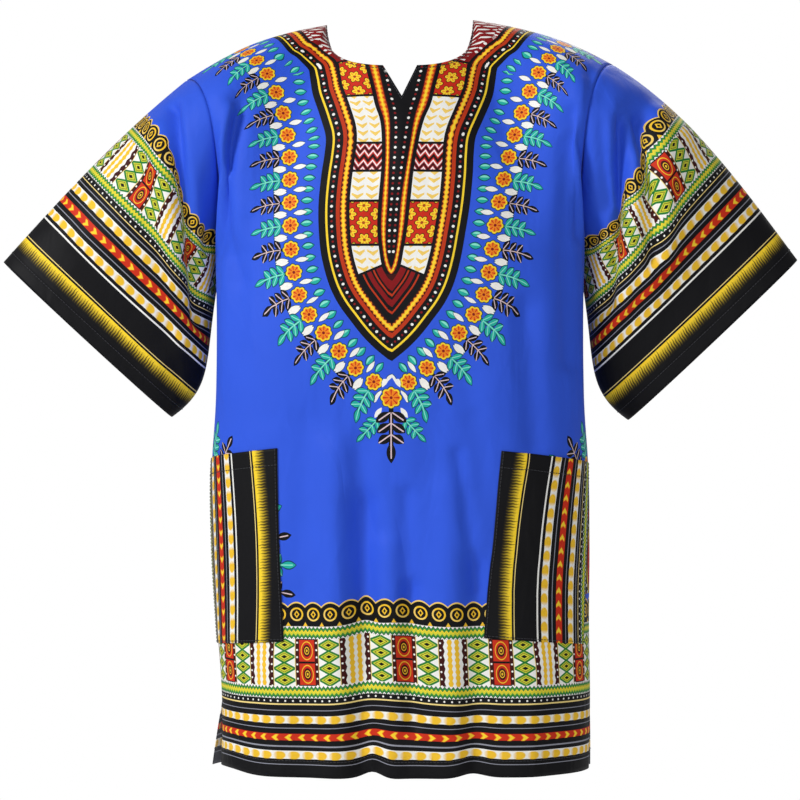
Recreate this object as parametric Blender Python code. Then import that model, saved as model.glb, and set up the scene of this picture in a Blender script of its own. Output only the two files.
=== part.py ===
"""Dashiki shirt, hollow and filled out as worn: front, back, two sleeves and two patch pockets.

Metres, +Z up, the front faces -Y. The origin is the middle of the neck at the top of the
shoulders, where the wearer carries the shirt. Left and right are the wearer's, so left is +X.
"""

from collections import namedtuple
from math import pi

import bpy
import numpy as np

# Cloth and seams
WALL = 0.0015
SEAM_GAP = 0.0003
POCKET_GAP = 0.0010

# Neck opening: two rounded scoops and a pointed slit down the front
NECK_HALF_WIDTH = 0.073
FRONT_NECK_DROP = 0.051
FRONT_NECK_REACH = 0.0745
FRONT_NECK_ROUND = 3.0
BACK_NECK_DROP = 0.067
BACK_NECK_REACH = 0.075
BACK_NECK_ROUND = 2.0
SLIT_HALF_WIDTH = 0.0165
SLIT_DROP = 0.082
SLIT_REACH = 0.088
SLIT_LEAN = 0.0017

# Height of the shoulder seam at a distance out from the middle
Shoulder = namedtuple("Shoulder", "out right_z left_z")
SHOULDERS = (
    Shoulder(0.073, -0.003, 0.002),
    Shoulder(0.108, -0.010, -0.004),
    Shoulder(0.156, -0.026, -0.017),
    Shoulder(0.190, -0.044, -0.031),
    Shoulder(0.213, -0.058, -0.043),
)
ARMHOLE_OUT = SHOULDERS[-1].out

# Sections of the body from the armpit down; pinch draws the side seam in, vent parts its edges
Section = namedtuple("Section", "z half_width middle front back pinch vent")
SECTIONS = (
    Section(-0.235, 0.1945, 0.000, 0.117, 0.100, 0.017, 0.000),
    Section(-0.290, 0.1940, 0.000, 0.121, 0.104, 0.021, 0.000),
    Section(-0.360, 0.1925, 0.000, 0.122, 0.107, 0.016, 0.000),
    Section(-0.430, 0.1895, 0.000, 0.120, 0.108, 0.003, 0.000),
    Section(-0.520, 0.1880, 0.001, 0.118, 0.107, 0.000, 0.000),
    Section(-0.600, 0.1855, 0.003, 0.116, 0.106, 0.000, 0.000),
    Section(-0.675, 0.1835, 0.006, 0.116, 0.106, 0.000, 0.000),
    Section(-0.705, 0.1830, 0.006, 0.116, 0.106, 0.000, 0.004),
    Section(-0.743, 0.1830, 0.005, 0.116, 0.107, 0.000, 0.008),
)
ARMPIT_Z = SECTIONS[0].z
HEM_Z = SECTIONS[-1].z
SECTION_ROUND = 2.6
PINCH_REACH = 0.045
VENT_BACK_SPREAD = 0.004

# Armholes: how far the seam swings forward, backward and in towards the chest
ARMHOLE_FRONT = 0.082
ARMHOLE_BACK = 0.074
ARMHOLE_BOW = 0.012
ARMHOLE_ROUND = 0.9
ARMHOLE_BLEND_FROM = 0.45

# Fall of the cloth above the armpit: how far it runs forward and down from each edge
Fall = namedtuple("Fall", "drift forward down")
OVER_SHOULDER = Fall(0.5, 0.150, 0.030)
FROM_NECK = Fall(0.8, 0.075, 0.160)
INTO_ARMPIT = Fall(0.2, 0.012, 0.215)

# Sleeves: the upper and lower corner of each hem, its half depth, and the way the cloth runs
Sleeve = namedtuple("Sleeve", "side top_x top_z low_x low_z top_slope hem_slope")
SLEEVES = (
    Sleeve("right", 0.396, -0.240, 0.228, -0.395, -0.80, -1.12),
    Sleeve("left", 0.397, -0.238, 0.228, -0.398, -0.60, -1.34),
)
SLEEVE_HEM_DEPTH = 0.043
SLEEVE_HEM_ROUND = 2.3
SLEEVE_SWELL = 0.035
LOW_LEAVE_SLOPE = -5.0
LOW_HEM_SLOPE = -0.70
LOW_SWELL = 0.85
LEAVE_TURN = 1.5
HEM_TURN = 3

# Patch pockets: across is a share of the front from its middle to the side seam
Pocket = namedtuple(
    "Pocket", "side inner_top inner_low outer_top outer_low z_inner z_outer z_low_in z_low_out"
)
POCKETS = (
    Pocket("right", 0.468, 0.470, 0.975, 0.965, -0.4245, -0.438, -0.6120, -0.620),
    Pocket("left", 0.384, 0.315, 0.870, 0.790, -0.4270, -0.440, -0.6080, -0.618),
)

# Folds as seen from the front or the back: a line, how wide and how deep, ridges below zero
Fold = namedtuple("Fold", "face x_top z_top x_low z_low width depth")
FOLDS = (
    Fold("front", -0.157, -0.090, -0.182, -0.225, 0.012, 0.008),
    Fold("front", 0.168, -0.100, 0.182, -0.215, 0.012, 0.007),
    Fold("front", -0.062, -0.430, -0.060, -0.760, 0.018, -0.006),
    Fold("front", -0.036, -0.480, -0.034, -0.760, 0.015, 0.009),
    Fold("front", -0.012, -0.520, -0.010, -0.760, 0.014, -0.006),
    Fold("front", 0.010, -0.560, 0.012, -0.690, 0.009, 0.006),
    Fold("front", 0.048, -0.470, 0.050, -0.760, 0.020, -0.005),
    Fold("front", 0.074, -0.540, 0.072, -0.760, 0.014, 0.007),
    Fold("front", 0.128, -0.640, 0.126, -0.760, 0.018, -0.005),
    Fold("front", -0.120, -0.640, -0.124, -0.760, 0.020, -0.005),
    Fold("front", -0.260, -0.150, -0.215, -0.300, 0.016, 0.007),
    Fold("front", -0.310, -0.220, -0.240, -0.340, 0.018, -0.005),
    Fold("front", 0.232, -0.100, 0.207, -0.215, 0.016, 0.009),
    Fold("front", 0.275, -0.120, 0.245, -0.260, 0.018, -0.006),
    Fold("back", -0.150, -0.080, -0.178, -0.215, 0.013, 0.007),
    Fold("back", 0.152, -0.085, 0.178, -0.220, 0.013, 0.008),
    Fold("back", -0.085, -0.400, -0.095, -0.760, 0.020, 0.008),
    Fold("back", -0.045, -0.450, -0.050, -0.760, 0.018, -0.006),
    Fold("back", 0.020, -0.500, 0.024, -0.760, 0.018, 0.008),
    Fold("back", 0.070, -0.380, 0.078, -0.760, 0.022, -0.007),
    Fold("back", 0.118, -0.520, 0.122, -0.760, 0.016, 0.007),
    Fold("back", -0.245, -0.130, -0.220, -0.290, 0.016, 0.007),
    Fold("back", 0.250, -0.135, 0.215, -0.280, 0.016, 0.007),
)
FACING_GAIN = 2.0
SEAM_REST = 0.07
SEAM_REST_ROWS = 2

# Hem of the front: the cloth rides up a little where a fold turns in
HemLift = namedtuple("HemLift", "x width lift")
HEM_LIFTS = (
    HemLift(-0.026, 0.012, 0.006),
    HemLift(0.070, 0.016, 0.004),
    HemLift(-0.170, 0.020, 0.004),
)
HEM_LIFT_FROM = -0.660

# Cells of the grids: slit, neck and shoulder across, then rows down
SLIT_CELLS, NECK_CELLS, SHOULDER_CELLS = 2, 6, 9
BACK_NECK_CELLS = 5
YOKE_ROWS, BODY_ROWS = 14, 12
SLEEVE_ROWS = 13
POCKET_COLUMNS, POCKET_ROWS = 9, 8

SIGN = {"left": 1.0, "right": -1.0}
TOWARDS = {"front": -1.0, "back": 1.0}
COLOURS = {
    "front": (0.030, 0.075, 0.62),
    "back": (0.028, 0.070, 0.58),
    "sleeve_right": (0.035, 0.080, 0.60),
    "sleeve_left": (0.035, 0.080, 0.60),
    "pocket_right": (0.020, 0.020, 0.022),
    "pocket_left": (0.020, 0.020, 0.022),
}
CLOTH_ROUGHNESS = 0.72


def smooth_step(value):
    value = np.clip(value, 0.0, 1.0)
    return value * value * (3.0 - 2.0 * value)


def column(table, name):
    return np.array([getattr(row, name) for row in table])


def smooth_table(table, key, name, at):
    """A cubic through a table's rows, with each row's slope taken from its neighbours."""
    places, values = column(table, key), column(table, name)
    order = np.argsort(places)
    places, values = places[order], values[order]
    slopes = np.gradient(values, places)
    at = np.clip(at, places[0], places[-1])
    index = np.clip(np.searchsorted(places, at) - 1, 0, len(places) - 2)
    width = places[index + 1] - places[index]
    share = (at - places[index]) / width
    start_slope, end_slope = slopes[index] * width, slopes[index + 1] * width
    return hermite(share, values[index], values[index + 1], start_slope, end_slope)


def hermite(share, start, end, start_slope, end_slope):
    square, cube = share**2, share**3
    return (
        (2 * cube - 3 * square + 1) * start
        + (cube - 2 * square + share) * start_slope
        + (3 * square - 2 * cube) * end
        + (cube - square) * end_slope
    )


def along(points, shares):
    """Points at these shares of a line's length."""
    steps = np.linalg.norm(np.diff(points, axis=0), axis=1)
    length = np.concatenate([[0.0], np.cumsum(steps)])
    return np.stack([np.interp(shares * length[-1], length, points[:, axis]) for axis in range(3)], axis=1)


def unit(vectors):
    return vectors / np.linalg.norm(vectors, axis=-1, keepdims=True)


def shoulder_z(x):
    left = smooth_table(SHOULDERS, "out", "left_z", np.abs(x))
    right = smooth_table(SHOULDERS, "out", "right_z", np.abs(x))
    return np.where(x > 0, left, right)


def neckline(face, side):
    """Half a neck scoop, from its middle up to the shoulder, as a rounded quarter."""
    drop = FRONT_NECK_DROP if face == "front" else BACK_NECK_DROP
    reach = FRONT_NECK_REACH if face == "front" else BACK_NECK_REACH
    power = 2.0 / (FRONT_NECK_ROUND if face == "front" else BACK_NECK_ROUND)
    angle = np.linspace(pi / 2, 0.0, 160)
    x = SIGN[side] * NECK_HALF_WIDTH * np.cos(angle).clip(0) ** power
    share = np.sin(angle) ** power
    neck_z = shoulder_z(np.array(SIGN[side] * NECK_HALF_WIDTH))
    return np.stack([x, TOWARDS[face] * reach * np.sin(angle), neck_z * (1 - share) - drop * share], axis=1)


def top_edge(face, side):
    """The upper edge of half a panel from its middle out, and how much each point belongs to the neck."""
    scoop = neckline(face, side)
    neck_cells = NECK_CELLS
    pieces, belongs = [], []
    if face == "front":
        scoop = scoop[np.abs(scoop[:, 0]) >= SLIT_HALF_WIDTH]
        apex = np.array([SLIT_LEAN, -SLIT_REACH, -SLIT_DROP])
        share = np.linspace(0.0, 1.0, SLIT_CELLS + 1)[:-1, None]
        pieces.append(apex + share * (scoop[0] - apex))
        belongs.append(np.ones(SLIT_CELLS))
    else:
        neck_cells = BACK_NECK_CELLS
    around = np.linspace(0.0, 1.0, neck_cells + 1)
    pieces.append(along(scoop, around))
    belongs.append(smooth_step(1.0 - around))
    x = SIGN[side] * np.linspace(NECK_HALF_WIDTH, ARMHOLE_OUT, SHOULDER_CELLS + 1)[1:]
    pieces.append(np.stack([x, 0 * x, shoulder_z(x)], axis=1))
    belongs.append(np.zeros(SHOULDER_CELLS))
    return np.concatenate(pieces), np.concatenate(belongs)


def girth_shares(face):
    """Where the grid's columns stand on a section, as shares from the middle to the side seam."""
    cells = SLIT_CELLS + NECK_CELLS + SHOULDER_CELLS
    if face == "front":
        return np.arange(cells + 1) / cells
    neck_end = (SLIT_CELLS + NECK_CELLS) / cells
    inner = np.linspace(0.0, neck_end, BACK_NECK_CELLS + 1)
    return np.concatenate([inner, np.linspace(neck_end, 1.0, SHOULDER_CELLS + 1)[1:]])


def panel_shares(face):
    """The columns of a whole panel, from the right side seam to the left one."""
    half = girth_shares(face)
    return np.concatenate([-half[::-1], half[1:]])


def section(face, z, shares):
    """A level section at signed shares of its half girth: a rounded oval, drawn in at the seam."""
    row = {name: float(smooth_table(SECTIONS, "z", name, np.array(z))) for name in Section._fields[1:]}
    power = 2.0 / SECTION_ROUND
    angle = np.linspace(0.0, pi / 2, 240)
    out = row["half_width"] * np.sin(angle) ** power
    away = row[face] * np.cos(angle).clip(0) ** power
    out = out - row["pinch"] * np.exp(-((away / PINCH_REACH) ** 2)) * (out / out[-1])
    parted = max(row["vent"], 0.0) * smooth_step(1.0 - away / PINCH_REACH)
    away = away + parted
    if face == "back":
        out = out + parted / SECTIONS[-1].vent * VENT_BACK_SPREAD
    half = along(np.stack([out, TOWARDS[face] * away, 0 * out + z], axis=1), np.abs(shares))
    half[:, 0] = row["middle"] + np.sign(shares) * half[:, 0]
    return half


def armhole(face, side, shares):
    """The armhole seam from the shoulder (0) to the armpit (1)."""
    out = SIGN[side] * ARMHOLE_OUT
    start = np.array([out, 0.0, float(shoulder_z(np.array(out)))])
    end = section(face, ARMPIT_Z, np.array([SIGN[side]]))[0]
    swing = ARMHOLE_FRONT if face == "front" else ARMHOLE_BACK
    x = start[0] + (end[0] - start[0]) * shares - SIGN[side] * ARMHOLE_BOW * np.sin(pi * shares)
    y = TOWARDS[face] * swing * np.sin(pi * shares) ** ARMHOLE_ROUND
    z = start[2] + (end[2] - start[2]) * (1.0 - np.cos(pi * shares / 2))
    return np.stack([x, y, z], axis=1)


def fall_ways(fall, drift, face):
    even = np.ones_like(drift)
    return np.stack([fall.drift * drift, TOWARDS[face] * fall.forward * even, -fall.down * even], axis=1)


def upper_half(face, side):
    """Half a panel above the armpit: each column runs from the top edge to the first section."""
    top, neck = top_edge(face, side)
    low = section(face, ARMPIT_Z, SIGN[side] * girth_shares(face))
    drift = low[:, 0] - top[:, 0]
    over_shoulder = fall_ways(OVER_SHOULDER, drift, face)
    start = over_shoulder + neck[:, None] * (fall_ways(FROM_NECK, drift, face) - over_shoulder)
    end = fall_ways(INTO_ARMPIT, drift, face)
    share = np.linspace(0.0, 1.0, YOKE_ROWS + 1)
    grid = hermite(share[:, None, None], top, low, start, end)
    at_seam = smooth_step((girth_shares(face) - ARMHOLE_BLEND_FROM) / (1.0 - ARMHOLE_BLEND_FROM))
    return grid + at_seam[None, :, None] * (armhole(face, side, share) - grid[:, -1])[:, None]


def hem_lift(x, z):
    lift = sum(row.lift * np.exp(-(((x - row.x) / row.width) ** 2)) for row in HEM_LIFTS)
    return lift * smooth_step((HEM_LIFT_FROM - z) / (HEM_LIFT_FROM - HEM_Z))


def lower_half(face, side, heights):
    shares = SIGN[side] * girth_shares(face)
    return np.stack([section(face, z, shares) for z in heights])


def body_heights():
    return np.linspace(ARMPIT_Z, HEM_Z, BODY_ROWS + 1)


def panel_grid(face):
    """Rows from the top edge to the hem, columns from the right side seam to the left one."""
    halves = {}
    for side in ("right", "left"):
        upper = upper_half(face, side)
        lower = lower_half(face, side, body_heights()[1:])
        halves[side] = np.concatenate([upper, lower])
    grid = np.concatenate([halves["right"][:, ::-1], halves["left"][:, 1:]], axis=1)
    middle = len(girth_shares(face)) - 1
    grid[:, middle] = (halves["right"][:, 0] + halves["left"][:, 0]) / 2
    if face == "front":
        grid[:, :, 2] += hem_lift(grid[:, :, 0], grid[:, :, 2])
    return grid


def inward_normals(grid, closed=False):
    """Unit normals of a grid: inward on a front whose columns run towards +X and rows run down."""
    down = np.gradient(grid, axis=0)
    if closed:
        across = np.roll(grid, -1, axis=1) - np.roll(grid, 1, axis=1)
    else:
        across = np.gradient(grid, axis=1)
    return unit(np.cross(across, down))


def fold_depth(points, inward):
    """How far the folds push each point in, from its distance to each fold's line in the front view."""
    depth = np.zeros(points.shape[:-1])
    flat = points[..., [0, 2]]
    for fold in FOLDS:
        start = np.array([fold.x_top, fold.z_top])
        run = np.array([fold.x_low, fold.z_low]) - start
        share = np.clip(((flat - start) @ run) / (run @ run), 0.0, 1.0)
        distance = np.linalg.norm(flat - start - share[..., None] * run, axis=-1)
        facing = smooth_step(-TOWARDS[fold.face] * inward[..., 1] * FACING_GAIN)
        depth += facing * fold.depth * np.exp(-((distance / fold.width) ** 2))
    return depth


def across_seam(edge, side):
    """Direction from the body to the sleeve, square to the armhole seam."""
    run = unit(np.gradient(edge, axis=0))
    out = np.array([SIGN[side], 0.0, 0.0])
    return unit(out - (run @ out)[:, None] * run)


def clear_of(directions, away):
    """Wall directions with any part that crosses the seam taken out."""
    crossing = np.minimum(np.sum(directions * away, axis=-1, keepdims=True), 0.0)
    return unit(directions - crossing * away)


def rows_ease(count):
    """Nought on a piece's first row and one a few rows on."""
    return smooth_step(np.arange(count) / SEAM_REST_ROWS)


def panel_walls(face):
    """Outer and inner points of the front or the back."""
    grid = panel_grid(face)
    inward = -TOWARDS[face] * inward_normals(grid)
    shares = panel_shares(face)
    ease = rows_ease(len(grid))[:, None] * smooth_step((1.0 - np.abs(shares)) / SEAM_REST)
    outer = grid + (ease * fold_depth(grid, inward))[..., None] * inward
    inward = -TOWARDS[face] * inward_normals(outer)
    away = np.array([0.0, TOWARDS[face], 0.0])
    shoulder = SHOULDER_CELLS + 1
    shoulders = (np.s_[0, :shoulder], np.s_[0, -shoulder:])
    sides = (np.s_[YOKE_ROWS:, 0], np.s_[YOKE_ROWS:, -1])
    for edge in shoulders + sides:
        inward[edge] = clear_of(inward[edge], away)
        outer[edge] = outer[edge] + away * SEAM_GAP / 2
    for side, place in (("right", 0), ("left", -1)):
        edge = np.s_[: YOKE_ROWS + 1, place]
        back_to_body = -across_seam(grid[edge], side)
        inward[edge] = clear_of(inward[edge], back_to_body)
        outer[edge] = outer[edge] + back_to_body * SEAM_GAP / 2
    return outer, outer + WALL * inward


def hem_loop(sleeve, turn):
    """The sleeve's hem, an oval that stands square to the front view."""
    sign = SIGN[sleeve.side]
    top = np.array([sign * sleeve.top_x, 0.0, sleeve.top_z])
    low = np.array([sign * sleeve.low_x, 0.0, sleeve.low_z])
    power = 2.0 / SLEEVE_HEM_ROUND
    depth = -np.sign(np.sin(turn)) * SLEEVE_HEM_DEPTH * np.abs(np.sin(turn)) ** power
    points = (top + low) / 2 + np.cos(turn)[:, None] * (top - low) / 2
    points[:, 1] = depth
    return points


def sleeve_grid(sleeve):
    """Rings from the armhole to the hem; each runs down the front and up the back."""
    sign = SIGN[sleeve.side]
    share = np.linspace(0.0, 1.0, YOKE_ROWS + 1)
    front = armhole("front", sleeve.side, share)
    back = armhole("back", sleeve.side, share)
    start = np.concatenate([front, back[-2:0:-1]])
    turn = np.concatenate([share, 2.0 - share[-2:0:-1]]) * pi
    end = hem_loop(sleeve, turn)
    low = (1.0 - np.cos(turn)) / 2
    length = np.linalg.norm(end - start, axis=1)
    top_way = np.array([sign, 0.0, sleeve.top_slope])
    low_way = np.array([sign, 0.0, LOW_LEAVE_SLOPE])
    hem_top = np.array([sign, 0.0, sleeve.hem_slope])
    hem_low = np.array([sign, 0.0, LOW_HEM_SLOPE])
    leave = unit(top_way) + (low**LEAVE_TURN)[:, None] * (unit(low_way) - unit(top_way))
    leave = unit(leave) * (length * (1.0 + LOW_SWELL * low**2))[:, None]
    leave[:, 1] = -SLEEVE_SWELL * np.sin(turn)
    arrive = unit(hem_top + (low**HEM_TURN)[:, None] * (hem_low - hem_top)) * length[:, None]
    down = np.linspace(0.0, 1.0, SLEEVE_ROWS + 1)[:, None, None]
    return hermite(down, start, end, leave, arrive)


def sleeve_walls(sleeve):
    grid = sleeve_grid(sleeve)
    turn_way = -SIGN[sleeve.side]
    inward = turn_way * inward_normals(grid, closed=True)
    ease = rows_ease(len(grid))[:, None]
    outer = grid + (ease * fold_depth(grid, inward))[..., None] * inward
    inward = turn_way * inward_normals(outer, closed=True)
    loop = np.concatenate([grid[0, -1:], grid[0], grid[0, :1]])
    away = across_seam(loop, sleeve.side)[1:-1]
    inward[0] = clear_of(inward[0], away)
    outer[0] = outer[0] + away * SEAM_GAP / 2
    return outer, outer + WALL * inward


def pocket_walls(pocket):
    """The front's own points under the pocket, moved out by the gap and by the pocket's cloth."""
    sign = SIGN[pocket.side]
    front, _ = panel_walls("front")
    inward = inward_normals(front)
    shares = panel_shares("front")
    heights = body_heights()
    lower, lower_in = front[YOKE_ROWS:], inward[YOKE_ROWS:]

    down = np.linspace(0.0, 1.0, POCKET_ROWS + 1)[:, None]
    over = np.linspace(0.0, 1.0, POCKET_COLUMNS + 1)[None, :]
    inner = pocket.inner_top + (pocket.inner_low - pocket.inner_top) * down
    outer = pocket.outer_top + (pocket.outer_low - pocket.outer_top) * down
    share = sign * (inner + (outer - inner) * over)
    top = pocket.z_inner + (pocket.z_outer - pocket.z_inner) * over
    low = pocket.z_low_in + (pocket.z_low_out - pocket.z_low_in) * over
    height = top + (low - top) * down

    seat = grid_point(lower, heights, shares, height, share)
    inner_way = unit(grid_point(lower_in, heights, shares, height, share))
    seat = seat - POCKET_GAP * inner_way
    return seat - WALL * inner_way, seat


def grid_point(values, heights, shares, height, share):
    """Straight reading between a grid's rows and columns."""
    row = np.clip(np.searchsorted(-heights, -height) - 1, 0, len(heights) - 2)
    place = np.clip(np.searchsorted(shares, share) - 1, 0, len(shares) - 2)
    down = ((height - heights[row]) / (heights[row + 1] - heights[row]))[..., None]
    over = ((share - shares[place]) / (shares[place + 1] - shares[place]))[..., None]
    upper = values[row, place] * (1 - over) + values[row, place + 1] * over
    under = values[row + 1, place] * (1 - over) + values[row + 1, place + 1] * over
    return upper * (1 - down) + under * down


def shell_faces(rows, columns, closed):
    """Quads of an outer grid, an inner grid after it and the rims that join them."""
    count = rows * columns
    cells = columns if closed else columns - 1
    row, place = np.meshgrid(np.arange(rows - 1), np.arange(cells), indexing="ij")
    row, place = row.ravel(), place.ravel()
    beside = (place + 1) % columns
    here, below = row * columns, (row + 1) * columns
    quad = np.stack([here + place, here + beside, below + beside, below + place], 1)
    faces = [quad, quad[:, ::-1] + count]
    place = np.arange(cells)
    beside = (place + 1) % columns
    faces.append(np.stack([beside, place, place + count, beside + count], 1))
    last = (rows - 1) * columns
    faces.append(np.stack([place, beside, beside + count, place + count], 1) + last)
    if not closed:
        row = np.arange(rows - 1) * columns
        faces.append(np.stack([row, row + columns, row + columns + count, row + count], 1))
        row = row + columns - 1
        faces.append(np.stack([row + columns, row, row + count, row + columns + count], 1))
    return np.concatenate(faces)


def cloth_material(name):
    material = bpy.data.materials.new(name)
    material.use_nodes = True
    shader = material.node_tree.nodes["Principled BSDF"]
    shader.inputs["Base Color"].default_value = (*COLOURS[name], 1.0)
    shader.inputs["Roughness"].default_value = CLOTH_ROUGHNESS
    shader.inputs["Metallic"].default_value = 0.0
    return material


def cloth_piece(name, walls, collection, closed=False):
    """A closed shell of the two walls, with its faces outward."""
    outer, inner = walls
    rows, columns = outer.shape[:2]
    points = np.concatenate([outer.reshape(-1, 3), inner.reshape(-1, 3)])
    faces = shell_faces(rows, columns, closed)
    fan = np.concatenate([faces[:, [0, 1, 2]], faces[:, [0, 2, 3]]])
    first, second, third = (points[fan[:, corner]] for corner in range(3))
    if np.sum(first * np.cross(second, third)) < 0:
        faces = faces[:, ::-1]
    mesh = bpy.data.meshes.new(name)
    mesh.from_pydata(points.tolist(), [], faces.tolist())
    mesh.materials.append(cloth_material(name))
    mesh.shade_smooth()
    piece = bpy.data.objects.new(name, mesh)
    collection.objects.link(piece)
    return piece


def main():
    for old in list(bpy.data.objects):
        bpy.data.objects.remove(old, do_unlink=True)
    collection = bpy.data.collections.new("dashiki_shirt")
    bpy.context.scene.collection.children.link(collection)
    for face in TOWARDS:
        cloth_piece(face, panel_walls(face), collection)
    for sleeve in SLEEVES:
        cloth_piece(f"sleeve_{sleeve.side}", sleeve_walls(sleeve), collection, closed=True)
    for pocket in POCKETS:
        cloth_piece(f"pocket_{pocket.side}", pocket_walls(pocket), collection)


main()
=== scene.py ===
"""Looks of a dashiki shirt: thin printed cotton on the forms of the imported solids.

Metres, +Z up, the front faces -Y. The origin is the middle of the neck at the top of the
shoulders. Left and right are the wearer's, so left is +X.
"""

from collections import namedtuple
from functools import lru_cache
from math import pi

import bpy
import numpy as np
from bpy.props import FloatProperty, FloatVectorProperty, PointerProperty
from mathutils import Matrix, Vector


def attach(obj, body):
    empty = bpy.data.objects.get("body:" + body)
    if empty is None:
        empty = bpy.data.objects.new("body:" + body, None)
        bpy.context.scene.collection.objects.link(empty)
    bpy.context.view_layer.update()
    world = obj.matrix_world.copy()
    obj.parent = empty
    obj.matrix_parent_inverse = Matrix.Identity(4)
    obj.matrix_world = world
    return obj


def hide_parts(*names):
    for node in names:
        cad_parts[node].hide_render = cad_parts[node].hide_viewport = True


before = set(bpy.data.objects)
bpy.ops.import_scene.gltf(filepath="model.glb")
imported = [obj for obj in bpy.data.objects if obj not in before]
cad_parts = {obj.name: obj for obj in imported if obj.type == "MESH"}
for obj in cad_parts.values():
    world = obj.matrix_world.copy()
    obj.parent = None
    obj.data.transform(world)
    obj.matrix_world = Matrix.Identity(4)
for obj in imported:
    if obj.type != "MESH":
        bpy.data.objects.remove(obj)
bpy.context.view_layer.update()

bl_info = {
    "name": "Dashiki Shirt",
    "version": (1, 0, 0),
    "blender": (4, 5, 0),
    "location": "View3D > Sidebar > Dashiki",
    "description": "Builds a printed dashiki shirt, hollow as worn",
    "category": "Add Mesh",
}

# Seams and neck of the frame
SEAM_GAP = 0.0003
NECK_HALF_WIDTH = 0.073
Neck = namedtuple("Neck", "drop reach round")
NECKS = {"front": Neck(0.051, 0.0745, 3.0), "back": Neck(0.067, 0.075, 2.0)}
NECK_SAMPLES = 160
SLIT_HALF_WIDTH = 0.0165
SLIT_DROP = 0.082
SLIT_REACH = 0.088
SLIT_LEAN = 0.0017

# Height of the shoulder seam at a distance out from the middle
Shoulder = namedtuple("Shoulder", "out right_z left_z")
SHOULDERS = (
    Shoulder(0.073, -0.003, 0.002),
    Shoulder(0.108, -0.010, -0.004),
    Shoulder(0.156, -0.026, -0.017),
    Shoulder(0.190, -0.044, -0.031),
    Shoulder(0.213, -0.058, -0.043),
)
ARMHOLE_OUT = SHOULDERS[-1].out

# Sections of the body from the armpit down; pinch draws the side seam in, vent parts its edges
Section = namedtuple("Section", "z half_width middle front back pinch vent")
SECTIONS = (
    Section(-0.235, 0.1945, 0.000, 0.117, 0.100, 0.017, 0.000),
    Section(-0.290, 0.1940, 0.000, 0.121, 0.104, 0.021, 0.000),
    Section(-0.360, 0.1925, 0.000, 0.122, 0.107, 0.016, 0.000),
    Section(-0.430, 0.1895, 0.000, 0.120, 0.108, 0.003, 0.000),
    Section(-0.520, 0.1880, 0.001, 0.118, 0.107, 0.000, 0.000),
    Section(-0.600, 0.1855, 0.003, 0.116, 0.106, 0.000, 0.000),
    Section(-0.675, 0.1835, 0.006, 0.116, 0.106, 0.000, 0.000),
    Section(-0.705, 0.1830, 0.006, 0.116, 0.106, 0.000, 0.004),
    Section(-0.743, 0.1830, 0.005, 0.116, 0.107, 0.000, 0.008),
)
ARMPIT_Z = SECTIONS[0].z
HEM_Z = SECTIONS[-1].z
SECTION_ROUND = 2.6
SECTION_SAMPLES = 240
PINCH_REACH = 0.045
VENT_BACK_SPREAD = (0.011, 0.003)

# Armholes: how far the seam swings forward, backward and in towards the chest
ARMHOLE_SWING = {"front": 0.082, "back": 0.074}
ARMHOLE_BOW = 0.012
ARMHOLE_ROUND = 0.9
ARMHOLE_BLEND_FROM = 0.45

# Fall of the cloth above the armpit: how far it runs forward and down from each edge
Fall = namedtuple("Fall", "drift forward down")
OVER_SHOULDER = Fall(0.5, 0.150, 0.030)
FROM_NECK = Fall(0.8, 0.075, 0.160)
INTO_ARMPIT = Fall(0.2, 0.012, 0.215)

# Sleeves: the upper and lower corner of each hem, and the way the cloth runs
Sleeve = namedtuple("Sleeve", "side top_x top_z low_x low_z top_slope hem_slope")
SLEEVES = {
    "right": Sleeve("right", 0.396, -0.240, 0.228, -0.395, -0.80, -1.12),
    "left": Sleeve("left", 0.397, -0.238, 0.228, -0.398, -0.60, -1.34),
}
SLEEVE_HEM_DEPTH = 0.043
SLEEVE_HEM_ROUND = 2.3
SLEEVE_SWELL = 0.035
LOW_LEAVE_SLOPE = -5.0
LOW_HEM_SLOPE = -0.70
LOW_SWELL = 0.85
LEAVE_TURN = 1.5
HEM_TURN = 3

# Patch pockets: across is a share of the front from its middle to the side seam
Pocket = namedtuple(
    "Pocket", "side inner_top inner_low outer_top outer_low z_inner z_outer z_low_in z_low_out"
)
POCKETS = {
    "right": Pocket("right", 0.468, 0.470, 0.975, 0.965, -0.4245, -0.438, -0.6120, -0.620),
    "left": Pocket("left", 0.384, 0.315, 0.870, 0.790, -0.4270, -0.440, -0.6080, -0.618),
}
POCKET_GAP = 0.0004

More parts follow.
